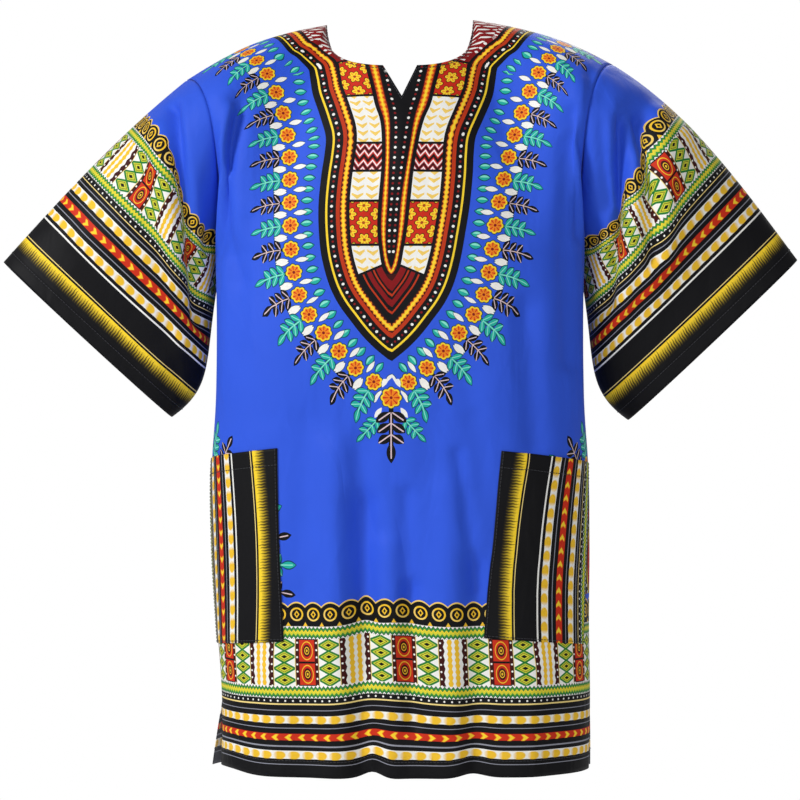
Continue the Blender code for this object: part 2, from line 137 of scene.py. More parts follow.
# Main folds, as in the frame, then small creases: a line in the front view, width and depth
Fold = namedtuple("Fold", "x_top z_top x_low z_low width depth")
FOLDS = {
    "front": (
        (-0.157, -0.090, -0.182, -0.225, 0.012, 0.008),
        (0.168, -0.100, 0.182, -0.215, 0.012, 0.007),
        (-0.062, -0.430, -0.060, -0.760, 0.018, -0.006),
        (-0.036, -0.480, -0.034, -0.760, 0.015, 0.009),
        (-0.012, -0.520, -0.010, -0.760, 0.014, -0.006),
        (0.010, -0.560, 0.012, -0.690, 0.009, 0.006),
        (0.048, -0.470, 0.050, -0.760, 0.020, -0.005),
        (0.074, -0.540, 0.072, -0.760, 0.014, 0.007),
        (0.128, -0.640, 0.126, -0.760, 0.018, -0.005),
        (-0.120, -0.640, -0.124, -0.760, 0.020, -0.005),
        (-0.260, -0.150, -0.215, -0.300, 0.016, 0.007),
        (-0.310, -0.220, -0.240, -0.340, 0.018, -0.005),
        (0.232, -0.100, 0.207, -0.215, 0.016, 0.009),
        (0.275, -0.120, 0.245, -0.260, 0.018, -0.006),
    ),
    "back": (
        (-0.150, -0.080, -0.178, -0.215, 0.013, 0.007),
        (0.152, -0.085, 0.178, -0.220, 0.013, 0.008),
        (-0.085, -0.400, -0.095, -0.760, 0.020, 0.008),
        (-0.045, -0.450, -0.050, -0.760, 0.018, -0.006),
        (0.020, -0.500, 0.024, -0.760, 0.018, 0.008),
        (0.070, -0.380, 0.078, -0.760, 0.022, -0.007),
        (0.118, -0.520, 0.122, -0.760, 0.016, 0.007),
        (-0.245, -0.130, -0.220, -0.290, 0.016, 0.007),
        (0.250, -0.135, 0.215, -0.280, 0.016, 0.007),
    ),
}
CREASES = {
    "front": (
        (-0.154, -0.097, -0.167, -0.152, 0.006, 0.0065),
        (-0.164, -0.094, -0.177, -0.146, 0.007, -0.0055),
        (-0.181, -0.165, -0.160, -0.262, 0.009, 0.0035),
        (-0.172, -0.215, -0.152, -0.262, 0.004, 0.0014),
        (-0.148, -0.205, -0.162, -0.330, 0.010, 0.0020),
        (0.176, -0.070, 0.182, -0.175, 0.008, -0.0030),
        (0.192, -0.060, 0.198, -0.190, 0.0075, 0.0085),
        (0.160, -0.130, 0.166, -0.340, 0.010, 0.0055),
        (-0.038, -0.420, -0.036, -0.640, 0.015, 0.0055),
        (-0.012, -0.510, -0.012, -0.700, 0.013, 0.0032),
        (-0.090, -0.400, -0.098, -0.600, 0.016, 0.0030),
        (0.006, -0.470, 0.008, -0.650, 0.009, 0.0048),
        (0.030, -0.400, 0.022, -0.560, 0.012, 0.0020),
        (0.056, -0.430, 0.074, -0.560, 0.007, 0.0036),
        (0.062, -0.330, 0.080, -0.460, 0.014, 0.0024),
        (-0.070, -0.560, -0.020, -0.640, 0.005, 0.0012),
        (0.122, -0.290, 0.130, -0.420, 0.013, 0.0050),
        (-0.212, -0.085, -0.232, -0.150, 0.014, -0.0030),
        (-0.222, -0.092, -0.196, -0.300, 0.0070, 0.0115),
        (-0.240, -0.110, -0.216, -0.320, 0.010, -0.0050),
        (0.239, -0.100, 0.247, -0.240, 0.0065, 0.0100),
        (0.254, -0.095, 0.263, -0.240, 0.009, -0.0045),
        (0.218, -0.105, 0.205, -0.285, 0.0070, 0.0115),
        (0.231, -0.140, 0.221, -0.290, 0.008, -0.0045),
    ),
    "back": (
        (-0.150, -0.120, -0.170, -0.260, 0.009, 0.0050),
        (-0.165, -0.110, -0.184, -0.230, 0.009, -0.0030),
        (0.146, -0.110, 0.166, -0.240, 0.008, 0.0045),
        (0.160, -0.105, 0.180, -0.220, 0.010, -0.0030),
        (0.000, -0.120, -0.006, -0.330, 0.014, 0.0022),
        (-0.070, -0.380, -0.084, -0.640, 0.016, 0.0045),
        (0.026, -0.420, 0.034, -0.650, 0.013, 0.0045),
        (0.104, -0.400, 0.098, -0.600, 0.015, 0.0035),
        (-0.226, -0.100, -0.204, -0.290, 0.009, 0.0065),
        (0.224, -0.100, 0.208, -0.280, 0.009, 0.0065),
    ),
}

# Tucks of the sleeves: cloth hidden in a deep fold, so that the print beyond it sits lower
Tuck = namedtuple("Tuck", "side x_top z_top x_low z_low step width")
TUCKS = (
    Tuck("right", -0.224, -0.120, -0.197, -0.300, 0.026, 0.0035),
    Tuck("left", 0.241, -0.118, 0.249, -0.225, 0.020, 0.0035),
    Tuck("left", 0.221, -0.140, 0.207, -0.275, 0.030, 0.0040),
)
TUCK_DIES = 1.5
FACING_GAIN = 2.0
SEAM_TUCK = 0.0006
SEAM_REST = 0.07
CAD_YOKE_ROWS, CAD_SLEEVE_ROWS = 14, 13
SEAM_REST_ROWS = 2

# Hem of the front: the cloth rides up a little where a fold turns in
HemLift = namedtuple("HemLift", "x width lift")
HEM_LIFTS = (
    HemLift(-0.026, 0.012, 0.006),
    HemLift(0.070, 0.016, 0.004),
    HemLift(-0.170, 0.020, 0.004),
)
HEM_LIFT_FROM = -0.660

# The frame's grid shares and the finer cells used here
CAD_CELLS = 17
SLIT_SHARE, NECK_SHARE = 2 / CAD_CELLS, 8 / CAD_CELLS
SLIT_CELLS, SHOULDER_CELLS = 8, 34
NECK_CELLS = {"front": 22, "back": 24}
YOKE_ROWS, BODY_ROWS = 64, 120
SLEEVE_ROWS = 84
POCKET_COLUMNS, POCKET_ROWS = 44, 72

SIGN = {"left": 1.0, "right": -1.0}
TOWARDS = {"front": -1.0, "back": 1.0}


def smooth_step(value):
    value = np.clip(value, 0.0, 1.0)
    return value * value * (3.0 - 2.0 * value)


def hermite(share, start, end, start_slope, end_slope):
    """The cubic that leaves start and reaches end with these slopes."""
    square, cube = share**2, share**3
    return (
        (2 * cube - 3 * square + 1) * start
        + (cube - 2 * square + share) * start_slope
        + (3 * square - 2 * cube) * end
        + (cube - square) * end_slope
    )


def smooth_table(table, key, name, at):
    """A cubic through a table's rows, with each row's slope taken from its neighbours."""
    places = np.array([getattr(row, key) for row in table])
    values = np.array([getattr(row, name) for row in table])
    order = np.argsort(places)
    places, values = places[order], values[order]
    slopes = np.gradient(values, places)
    at = np.clip(at, places[0], places[-1])
    index = np.clip(np.searchsorted(places, at) - 1, 0, len(places) - 2)
    width = places[index + 1] - places[index]
    share = (at - places[index]) / width
    start_slope, end_slope = slopes[index] * width, slopes[index + 1] * width
    return hermite(share, values[index], values[index + 1], start_slope, end_slope)


def unit(vectors):
    return vectors / np.linalg.norm(vectors, axis=-1, keepdims=True)


def run_lengths(points):
    """Length run along a line of points, from nought at its first."""
    steps = np.linalg.norm(np.diff(points, axis=0), axis=-1)
    return np.concatenate([np.zeros_like(steps[:1]), np.cumsum(steps, axis=0)])


def along(points, shares):
    """Points at these shares of a line's length."""
    length = run_lengths(points)
    axes = range(points.shape[1])
    return np.stack([np.interp(shares * length[-1], length, points[:, axis]) for axis in axes], axis=1)


def shoulder_z(x):
    left = smooth_table(SHOULDERS, "out", "left_z", np.abs(x))
    right = smooth_table(SHOULDERS, "out", "right_z", np.abs(x))
    return np.where(x > 0, left, right)


def neckline(face, side):
    """Half a neck scoop, a rounded quarter: x goes with the cosine, depth and drop with the sine."""
    neck = NECKS[face]
    power = 2.0 / neck.round
    angle = np.linspace(pi / 2, 0.0, NECK_SAMPLES)
    x = SIGN[side] * NECK_HALF_WIDTH * np.cos(angle).clip(0) ** power
    share = np.sin(angle) ** power
    neck_z = shoulder_z(np.array(SIGN[side] * NECK_HALF_WIDTH))
    z = neck_z * (1 - share) - neck.drop * share
    return np.stack([x, TOWARDS[face] * neck.reach * np.sin(angle), z], axis=1)


def top_edge(face, side):
    """The upper edge of half a panel from its middle out, and how much each point belongs to the neck."""
    scoop = neckline(face, side)
    pieces, belongs = [], []
    if face == "front":
        scoop = scoop[np.abs(scoop[:, 0]) >= SLIT_HALF_WIDTH]
        apex = np.array([SLIT_LEAN, -SLIT_REACH, -SLIT_DROP])
        share = np.linspace(0.0, 1.0, SLIT_CELLS + 1)[:-1, None]
        pieces.append(apex + share * (scoop[0] - apex))
        belongs.append(np.ones(SLIT_CELLS))
    around = np.linspace(0.0, 1.0, NECK_CELLS[face] + 1)
    pieces.append(along(scoop, around))
    belongs.append(smooth_step(1.0 - around))
    x = SIGN[side] * np.linspace(NECK_HALF_WIDTH, ARMHOLE_OUT, SHOULDER_CELLS + 1)[1:]
    pieces.append(np.stack([x, 0 * x, shoulder_z(x)], axis=1))
    belongs.append(np.zeros(SHOULDER_CELLS))
    return np.concatenate(pieces), np.concatenate(belongs)


def girth_shares(face):
    """Where the grid's columns stand on a section, as shares from the middle to the side seam."""
    outer = np.linspace(NECK_SHARE, 1.0, SHOULDER_CELLS + 1)[1:]
    if face == "front":
        slit = np.linspace(0.0, SLIT_SHARE, SLIT_CELLS + 1)
        neck = np.linspace(SLIT_SHARE, NECK_SHARE, NECK_CELLS[face] + 1)[1:]
        return np.concatenate([slit, neck, outer])
    return np.concatenate([np.linspace(0.0, NECK_SHARE, NECK_CELLS[face] + 1), outer])


def panel_shares(face):
    """The columns of a whole panel, from the right side seam to the left one."""
    half = girth_shares(face)
    return np.concatenate([-half[::-1], half[1:]])


def section(face, z, shares):
    """A level section at signed shares of its half girth: a rounded oval, drawn in at the seam.

    Down at the vent its edges part, and the back's edges hang a little further out.
    """
    row = {name: float(smooth_table(SECTIONS, "z", name, np.array(z))) for name in Section._fields[1:]}
    power = 2.0 / SECTION_ROUND
    vent = max(row["vent"], 0.0)
    angle = np.linspace(0.0, pi / 2, SECTION_SAMPLES)
    out = row["half_width"] * np.sin(angle) ** power
    away = row[face] * np.cos(angle).clip(0) ** power
    out = out - row["pinch"] * np.exp(-((away / PINCH_REACH) ** 2)) * (out / out[-1])
    away = away + vent * smooth_step(1.0 - away / PINCH_REACH)
    half = along(np.stack([out, TOWARDS[face] * away, 0 * out + z], axis=1), np.abs(shares))
    if face == "back":
        loose = smooth_step(1.0 - np.abs(half[:, 1]) / PINCH_REACH) * vent / SECTIONS[-1].vent
        half[:, 0] += loose * np.where(shares < 0, *VENT_BACK_SPREAD)
    half[:, 0] = row["middle"] + np.sign(shares) * half[:, 0]
    return half


def armhole(face, side, shares):
    """The armhole seam from the shoulder (0) to the armpit (1), swung forward or back by a sine."""
    out = SIGN[side] * ARMHOLE_OUT
    start = np.array([out, 0.0, float(shoulder_z(np.array(out)))])
    end = section(face, ARMPIT_Z, np.array([SIGN[side]]))[0]
    x = start[0] + (end[0] - start[0]) * shares - SIGN[side] * ARMHOLE_BOW * np.sin(pi * shares)
    y = TOWARDS[face] * ARMHOLE_SWING[face] * np.sin(pi * shares).clip(0) ** ARMHOLE_ROUND
    z = start[2] + (end[2] - start[2]) * (1.0 - np.cos(pi * shares / 2))
    return np.stack([x, y, z], axis=1)


def fall_ways(fall, drift, face):
    even = np.ones_like(drift)
    return np.stack([fall.drift * drift, TOWARDS[face] * fall.forward * even, -fall.down * even], axis=1)


def upper_half(face, side):
    """Half a panel above the armpit: each column is a cubic from the top edge to the first section."""
    top, neck = top_edge(face, side)
    low = section(face, ARMPIT_Z, SIGN[side] * girth_shares(face))
    drift = low[:, 0] - top[:, 0]
    over_shoulder = fall_ways(OVER_SHOULDER, drift, face)
    start = over_shoulder + neck[:, None] * (fall_ways(FROM_NECK, drift, face) - over_shoulder)
    end = fall_ways(INTO_ARMPIT, drift, face)
    share = np.linspace(0.0, 1.0, YOKE_ROWS + 1)
    grid = hermite(share[:, None, None], top, low, start, end)
    at_seam = smooth_step((girth_shares(face) - ARMHOLE_BLEND_FROM) / (1.0 - ARMHOLE_BLEND_FROM))
    return grid + at_seam[None, :, None] * (armhole(face, side, share) - grid[:, -1])[:, None]


def bells(x, rows):
    """The sum of the rows' lifts, each a bell: lift times exp(-((x - row.x) / width)^2)."""
    return sum(row.lift * np.exp(-(((x - row.x) / row.width) ** 2)) for row in rows)


def hem_lift(x, z):
    return bells(x, HEM_LIFTS) * smooth_step((HEM_LIFT_FROM - z) / (HEM_LIFT_FROM - HEM_Z))


def body_heights():
    return np.linspace(ARMPIT_Z, HEM_Z, BODY_ROWS + 1)


@lru_cache
def panel_grid(face):
    """Rows from the top edge to the hem, columns from the right side seam to the left one."""
    halves = {}
    for side in ("right", "left"):
        shares = SIGN[side] * girth_shares(face)
        lower = np.stack([section(face, z, shares) for z in body_heights()[1:]])
        halves[side] = np.concatenate([upper_half(face, side), lower])
    grid = np.concatenate([halves["right"][:, ::-1], halves["left"][:, 1:]], axis=1)
    middle = len(girth_shares(face)) - 1
    grid[:, middle] = (halves["right"][:, 0] + halves["left"][:, 0]) / 2
    if face == "front":
        grid[:, :, 2] += hem_lift(grid[:, :, 0], grid[:, :, 2])
    return grid


def inward_normals(grid, closed=False):
    """Unit normals of a grid: inward on a front whose columns run towards +X and rows run down."""
    down = np.gradient(grid, axis=0)
    if closed:
        across = np.roll(grid, -1, axis=1) - np.roll(grid, 1, axis=1)
    else:
        across = np.gradient(grid, axis=1)
    return unit(np.cross(across, down))


def from_line(points, line):
    """Offsets from the top of a line in the front view, the line's run, and how far down it they are."""
    start = np.array([line.x_top, line.z_top])
    run = np.array([line.x_low, line.z_low]) - start
    offset = points[..., [0, 2]] - start
    return offset, run, (offset @ run) / (run @ run)


def facing(face, inward):
    """One where the cloth faces the front or the back, and nought where it faces away."""
    return smooth_step(-TOWARDS[face] * inward[..., 1] * FACING_GAIN)


def fold_depth(points, inward):
    """How far folds push each point in: a bell of the distance to each fold's line in the front view."""
    depth = np.zeros(points.shape[:-1])
    for face in FOLDS:
        shown = facing(face, inward)
        for row in FOLDS[face] + CREASES[face]:
            fold = Fold(*row)
            offset, run, share = from_line(points, fold)
            distance = np.linalg.norm(offset - np.clip(share, 0.0, 1.0)[..., None] * run, axis=-1)
            depth += shown * fold.depth * np.exp(-((distance / fold.width) ** 2))
    return depth


def across_seam(edge, side):
    """Direction from the body to the sleeve, square to the armhole seam."""
    run = unit(np.gradient(edge, axis=0))
    out = np.array([SIGN[side], 0.0, 0.0])
    return unit(out - (run @ out)[:, None] * run)


def clear_of(directions, away):
    """Wall directions with any part that crosses the seam taken out."""
    crossing = np.minimum(np.sum(directions * away, axis=-1, keepdims=True), 0.0)
    return unit(directions - crossing * away)


def rows_ease(count, fine_rows, cad_rows):
    """Nought on a piece's first row and one a few of the frame's rows on."""
    return smooth_step(np.arange(count) / (SEAM_REST_ROWS * fine_rows / cad_rows))


@lru_cache
def panel_walls(face, wall):
    """Outer and inner points of the front or the back."""
    grid = panel_grid(face)
    inward = -TOWARDS[face] * inward_normals(grid)
    shares = panel_shares(face)
    at_side = smooth_step((1.0 - np.abs(shares)) / SEAM_REST)
    ease = rows_ease(len(grid), YOKE_ROWS, CAD_YOKE_ROWS)[:, None] * at_side
    outer = grid + (ease * fold_depth(grid, inward))[..., None] * inward
    inward = -TOWARDS[face] * inward_normals(outer)
    away = np.array([0.0, TOWARDS[face], 0.0])
    shoulder = SHOULDER_CELLS + 1
    shoulders = (np.s_[0, :shoulder], np.s_[0, -shoulder:])
    sides = (np.s_[YOKE_ROWS:, 0], np.s_[YOKE_ROWS:, -1])
    for edge in shoulders + sides:
        inward[edge] = clear_of(inward[edge], away)
        outer[edge] = outer[edge] + away * SEAM_GAP / 2
    for side, place in (("right", 0), ("left", -1)):
        edge = np.s_[: YOKE_ROWS + 1, place]
        back_to_body = -across_seam(grid[edge], side)
        inward[edge] = clear_of(inward[edge], back_to_body)
        outer[edge] = outer[edge] + back_to_body * SEAM_GAP / 2
    return outer, outer + wall * inward


def hem_loop(sleeve, turn):
    """The sleeve's hem: a rounded oval that stands square to the front view."""
    sign = SIGN[sleeve.side]
    top = np.array([sign * sleeve.top_x, 0.0, sleeve.top_z])
    low = np.array([sign * sleeve.low_x, 0.0, sleeve.low_z])
    power = 2.0 / SLEEVE_HEM_ROUND
    depth = -np.sign(np.sin(turn)) * SLEEVE_HEM_DEPTH * np.abs(np.sin(turn)) ** power
    points = (top + low) / 2 + np.cos(turn)[:, None] * (top - low) / 2
    points[:, 1] = depth
    return points


@lru_cache
def sleeve_grid(side):
    """Rings from the armhole to the hem, each line a cubic; each ring runs down the front and up the back."""
    sleeve, sign = SLEEVES[side], SIGN[side]
    share = np.linspace(0.0, 1.0, YOKE_ROWS + 1)
    start = np.concatenate([armhole("front", side, share), armhole("back", side, share)[-2:0:-1]])
    turn = np.concatenate([share, 2.0 - share[-2:0:-1]]) * pi
    end = hem_loop(sleeve, turn)
    low = (1.0 - np.cos(turn)) / 2
    length = np.linalg.norm(end - start, axis=1)
    top_way = np.array([sign, 0.0, sleeve.top_slope])
    low_way = np.array([sign, 0.0, LOW_LEAVE_SLOPE])
    hem_top = np.array([sign, 0.0, sleeve.hem_slope])
    hem_low = np.array([sign, 0.0, LOW_HEM_SLOPE])
    leave = unit(top_way) + (low**LEAVE_TURN)[:, None] * (unit(low_way) - unit(top_way))
    leave = unit(leave) * (length * (1.0 + LOW_SWELL * low**2))[:, None]
    leave[:, 1] = -SLEEVE_SWELL * np.sin(turn)
    arrive = unit(hem_top + (low**HEM_TURN)[:, None] * (hem_low - hem_top)) * length[:, None]
    down = np.linspace(0.0, 1.0, SLEEVE_ROWS + 1)[:, None, None]
    return hermite(down, start, end, leave, arrive)


@lru_cache
def sleeve_walls(side, wall):
    grid = sleeve_grid(side)
    inward = -SIGN[side] * inward_normals(grid, closed=True)
    ease = rows_ease(len(grid), SLEEVE_ROWS, CAD_SLEEVE_ROWS)[:, None]
    outer = grid + (ease * fold_depth(grid, inward))[..., None] * inward
    inward = -SIGN[side] * inward_normals(outer, closed=True)
    loop = np.concatenate([grid[0, -1:], grid[0], grid[0, :1]])
    away = across_seam(loop, side)[1:-1]
    inward[0] = clear_of(inward[0], away)
    outer[0] = outer[0] - away * SEAM_TUCK + inward[0] * SEAM_TUCK
    return outer, outer + wall * inward


def grid_point(values, heights, shares, height, share):
    """Straight reading between a grid's rows and columns."""
    row = np.clip(np.searchsorted(-heights, -height) - 1, 0, len(heights) - 2)
    place = np.clip(np.searchsorted(shares, share) - 1, 0, len(shares) - 2)
    down = ((height - heights[row]) / (heights[row + 1] - heights[row]))[..., None]
    over = ((share - shares[place]) / (shares[place + 1] - shares[place]))[..., None]
    upper = values[row, place] * (1 - over) + values[row, place + 1] * over
    under = values[row + 1, place] * (1 - over) + values[row + 1, place + 1] * over
    return upper * (1 - down) + under * down


@lru_cache
def pocket_walls(side, wall, cloth):
    """The front's own points under the pocket, moved out by the gap and by the pocket's cloth."""
    pocket, sign = POCKETS[side], SIGN[side]
    front, _ = panel_walls("front", cloth)
    inward = inward_normals(front)
    down = np.linspace(0.0, 1.0, POCKET_ROWS + 1)[:, None]
    over = np.linspace(0.0, 1.0, POCKET_COLUMNS + 1)[None, :]
    inner = pocket.inner_top + (pocket.inner_low - pocket.inner_top) * down
    outer = pocket.outer_top + (pocket.outer_low - pocket.outer_top) * down
    share = sign * (inner + (outer - inner) * over)
    top = pocket.z_inner + (pocket.z_outer - pocket.z_inner) * over
    low = pocket.z_low_in + (pocket.z_low_out - pocket.z_low_in) * over
    height = top + (low - top) * down
    place = (body_heights(), panel_shares("front"), height, share)
    seat = grid_point(front[YOKE_ROWS:], *place)
    way = unit(grid_point(inward[YOKE_ROWS:], *place))
    seat = seat - POCKET_GAP * way
    return seat - wall * way, seat


def shell_faces(rows, columns, closed):
    """Quads of an outer grid, an inner grid after it and the rims that join them."""
    count = rows * columns
    cells = columns if closed else columns - 1
    row, place = np.meshgrid(np.arange(rows - 1), np.arange(cells), indexing="ij")
    row, place = row.ravel(), place.ravel()
    beside = (place + 1) % columns
    here, below = row * columns, (row + 1) * columns
    quad = np.stack([here + place, here + beside, below + beside, below + place], 1)
    faces = [quad, quad[:, ::-1] + count]
    place = np.arange(cells)
    beside = (place + 1) % columns
    faces.append(np.stack([beside, place, place + count, beside + count], 1))
    last = (rows - 1) * columns
    faces.append(np.stack([place, beside, beside + count, place + count], 1) + last)
    if not closed:
        row = np.arange(rows - 1) * columns
        faces.append(np.stack([row, row + columns, row + columns + count, row + count], 1))
        row = row + columns - 1
        faces.append(np.stack([row + columns, row, row + count, row + columns + count], 1))
    return np.concatenate(faces)


def outward(points, faces):
    """The faces, turned round where the closed shell's volume comes out negative."""
    fan = np.concatenate([faces[:, [0, 1, 2]], faces[:, [0, 2, 3]]])
    first, second, third = (points[fan[:, corner]] for corner in range(3))
    return faces[:, ::-1] if np.sum(first * np.cross(second, third)) < 0 else faces


def new_piece(name, points, faces, materials=()):
    mesh = bpy.data.meshes.new(name)
    mesh.from_pydata(points.tolist(), [], faces.tolist())
    for material in materials:
        mesh.materials.append(material)
    mesh.shade_smooth()
    piece = bpy.data.objects.new(name, mesh)
    bpy.context.scene.collection.objects.link(piece)
    return piece


# Print: its tables are in metres on the flat cloth, across from its axis and down
PRINT_UNIT, CUFF_UNIT = 0.000964, 0.000985
ARMPIT_DOWN = 0.235
Lean = namedtuple("Lean", "top run from_down over")
AXIS_LEAN = Lean(0.0030, -0.0115, 0.070, 0.175)
YOKE_WING = ((0.134, -0.070), (0.134, -0.034), (0.1165, 0.014), (0.105, 0.027), (0.093, 0.041))
YOKE_SIDE = (
    (0.093, 0.041), (0.091, 0.057), (0.088, 0.074), (0.079, 0.101), (0.073, 0.120), (0.0725, 0.138),
    (0.0735, 0.160), (0.0733, 0.189), (0.0708, 0.217), (0.067, 0.242), (0.060, 0.267), (0.051, 0.2855),
    (0.0398, 0.301), (0.028, 0.316), (0.0155, 0.3287), (0.0, 0.3414),
)
WREATH = (
    (0.0, 0.378), (0.034, 0.356), (0.066, 0.3225), (0.0915, 0.288), (0.102, 0.250), (0.106, 0.208),
    (0.111, 0.162), (0.117, 0.122), (0.126, 0.088), (0.139, 0.055), (0.154, 0.025), (0.165, -0.005),
    (0.170, -0.037), (0.172, -0.070),
)
WREATH_INNER, WREATH_OUTER = -0.050, 0.046
TIP_SIDE, TIP_FROM, TIP_TO = 0.050, 0.362, 0.470
RELIEF, RELIEF_FULL_AT, SWELL = 0.9, 0.070, HemLift(-0.016, 0.038, 0.005)
HEM_TOP, CUFF_TOP = 0.171, 0.2085
POCKET_BOW = 0.0055


def smooth_line(spots, steps=12):
    """A cubic through the spots, each span leaving and arriving along its neighbours' chord."""
    points = np.array(spots)
    slopes = np.gradient(points, axis=0)
    share = np.linspace(0.0, 1.0, steps + 1)[:-1, None]
    ends = zip(points, points[1:], slopes, slopes[1:])
    return np.concatenate([*(hermite(share, *span) for span in ends), points[-1:]])


def yoke_line():
    """The yoke's outer edge from its tip up and over the shoulder."""
    return np.concatenate([smooth_line(YOKE_WING)[:-1], smooth_line(YOKE_SIDE)])[::-1]


def beside(points, line):
    """Signed distance to a line, above zero on its right, and the length run to the nearest place."""
    start, run = line[:-1], np.diff(line, axis=0)
    length = np.linalg.norm(run, axis=1)
    before = run_lengths(line)[:-1]
    offset = points[:, None] - start[None]
    share = np.clip(np.sum(offset * run, axis=-1) / length**2, 0.0, 1.0)
    distance = np.linalg.norm(offset - share[..., None] * run, axis=-1)
    best = np.argmin(distance, axis=1)
    pick = np.arange(len(points))
    cross = run[best, 0] * offset[pick, best, 1] - run[best, 1] * offset[pick, best, 0]
    return np.sign(cross) * distance[pick, best], before[best] + share[pick, best] * length[best]


def panel_flat(face):
    """Across and down of each point on the flat cloth, and its height above the hem, by runs of length."""
    grid = panel_grid(face)
    ring = grid[YOKE_ROWS]
    middle = len(panel_shares(face)) // 2
    around = np.stack([run_lengths(row) for row in grid[YOKE_ROWS:]])
    around = around - around[:, middle, None]
    settle = smooth_step(np.linspace(0.0, 1.0, YOKE_ROWS + 1))[:-1, None]
    upper = grid[:YOKE_ROWS, :, 0] + (around[0] - ring[:, 0]) * settle
    down = run_lengths(grid)
    return np.concatenate([upper, around]), ARMPIT_DOWN + down - down[YOKE_ROWS], down[-1] - down


def border_relief(x, height):
    """Eases the hem's sharp lifts out of the border's upper lines, and raises these in one broad swell."""
    return (RELIEF * bells(x, HEM_LIFTS) - bells(x, [SWELL])) * smooth_step(height / RELIEF_FULL_AT)


@lru_cache
def panel_print(face):
    """The maps that the print of the front or the back reads, each a pair of lengths for every point."""
    across, down, height = panel_flat(face)
    lean = AXIS_LEAN.top + AXIS_LEAN.run * smooth_step((down - AXIS_LEAN.from_down) / AXIS_LEAN.over)
    flat = np.stack([across - lean, down], axis=-1)
    if face == "front":
        height = height + border_relief(panel_grid(face)[..., 0], height)
    mirrored = np.stack([np.abs(flat[..., 0]), down], axis=-1).reshape(-1, 2)
    from_seam = np.where(across < 0, -across[:, :1], across[:, -1:]) - np.abs(across)
    maps = {
        "print": flat,
        "hem": np.stack([across, height], axis=-1),
        "side": np.stack([from_seam, down], axis=-1),
    }
    for name, line in (("yoke", yoke_line()), ("wreath", smooth_line(WREATH))):
        maps[name] = np.stack(beside(mirrored, line), axis=-1).reshape(flat.shape)
    maps["yoke"][..., 0] *= -1.0
    return maps


def tucked(grid, side):
    """How much cloth the tucks hide at each point: a soft step across each tuck that dies out down it."""
    shown = facing("front", -SIGN[side] * inward_normals(grid, closed=True))
    hidden = np.zeros(grid.shape[:-1])
    for tuck in TUCKS:
        if tuck.side == side:
            offset, run, share = from_line(grid, tuck)
            beyond = SIGN[side] * (run[0] * offset[..., 1] - run[1] * offset[..., 0]) / -np.hypot(*run)
            step = smooth_step(0.5 + beyond / (2 * tuck.width)) * smooth_step((1.0 - share) * TUCK_DIES)
            hidden += shown * tuck.step * step
    return hidden


def sleeve_print(side):
    """Around from the top line, and the height above the cuff, along the sleeve's own lines."""
    grid = sleeve_grid(side)
    looped = np.concatenate([grid, grid[:, :1]], axis=1)
    around = np.stack([run_lengths(row) for row in looped])[:, :-1]
    girth = around[:, -1:] + np.linalg.norm(grid[:, :1] - grid[:, -1:], axis=-1)
    around = np.where(around > girth / 2, around - girth, around)
    down = run_lengths(grid)
    height = down[-1] - down + tucked(grid, side)
    return {"cuff": np.stack([around, height], axis=-1)}, np.repeat(girth[..., None], grid.shape[1], axis=1)


def pocket_print(side, cloth):
    """From the pocket's inner edge outwards, and up from its lower edge, or down on the right one."""
    outer, _ = pocket_walls(side, cloth, cloth)
    over = np.stack([run_lengths(row) for row in outer])
    over = over + POCKET_BOW * np.sin(np.linspace(0.0, pi, len(outer)))[:, None]
    down = run_lengths(outer)
    return {"stripe": np.stack([over, down if side == "right" else down[-1] - down], axis=-1)}


# Inks, as seen in daylight from 0 to 255
Ink = namedtuple("Ink", "red green blue")
BLACK = Ink(9, 9, 13)
WHITE = Ink(246, 245, 240)
CREAM = Ink(246, 220, 140)
GREY = Ink(150, 152, 165)
YELLOW = Ink(255, 217, 50)
GOLD = Ink(247, 197, 48)
PALE_GOLD = Ink(247, 208, 104)
ORANGE = Ink(243, 136, 28)
RED = Ink(204, 42, 22)
SCARLET = Ink(208, 48, 22)
BRICK = Ink(190, 54, 18)
DARK_RED = Ink(136, 16, 20)
MAROON = Ink(62, 12, 10)
PINK = Ink(240, 150, 160)
TEAL = Ink(34, 176, 160)
DEEP_TEAL = Ink(10, 70, 88)
PALE_TEAL = Ink(140, 232, 210)
LIME = Ink(216, 214, 58)
GREEN = Ink(52, 146, 62)
DARK_GREEN = Ink(14, 66, 30)
ROSE_WHITE = Ink(226, 200, 206)
RAMP_GAMMA = 2.4


def linear(ink):
    """The ink's colour in the renderer's own linear light."""
    share = np.array(ink) / 255.0
    bright = ((share + 0.055) / 1.055) ** RAMP_GAMMA
    return (*np.where(share > 0.04045, bright, share / 12.92).tolist(), 1.0)


def maths(operation):
    """A method that adds one Math node to its field's sheet."""
    def method(field, *others):
        return field.sheet.math(operation, field, *others)
    return method


class Field:
    """A number that changes over the cloth. Its operators add Math nodes to its sheet."""

    def __init__(self, sheet, socket):
        self.sheet, self.socket = sheet, socket

    def __rsub__(self, other):
        return self.sheet.math("SUBTRACT", other, self)

    def math(self, operation, *others):
        return self.sheet.math(operation, self, *others)

    __add__ = __radd__ = maths("ADD")
    __sub__ = maths("SUBTRACT")
    __mul__ = __rmul__ = __and__ = maths("MULTIPLY")
    __truediv__ = maths("DIVIDE")
    __pow__ = maths("POWER")
    __abs__ = maths("ABSOLUTE")
    __lt__ = maths("LESS_THAN")
    __gt__ = maths("GREATER_THAN")
    __or__ = at_least = maths("MAXIMUM")
    at_most = maths("MINIMUM")

    def fold(self, repeat):
        """Signed distance to the nearest multiple of the repeat."""
        return self.math("WRAP", repeat / 2, -repeat / 2)

    def swing(self, repeat):
        """Distance to the nearest multiple of the repeat."""
        return self.math("PINGPONG", repeat / 2)

    def within(self, low, high):
        return (self > low) & (self < high)


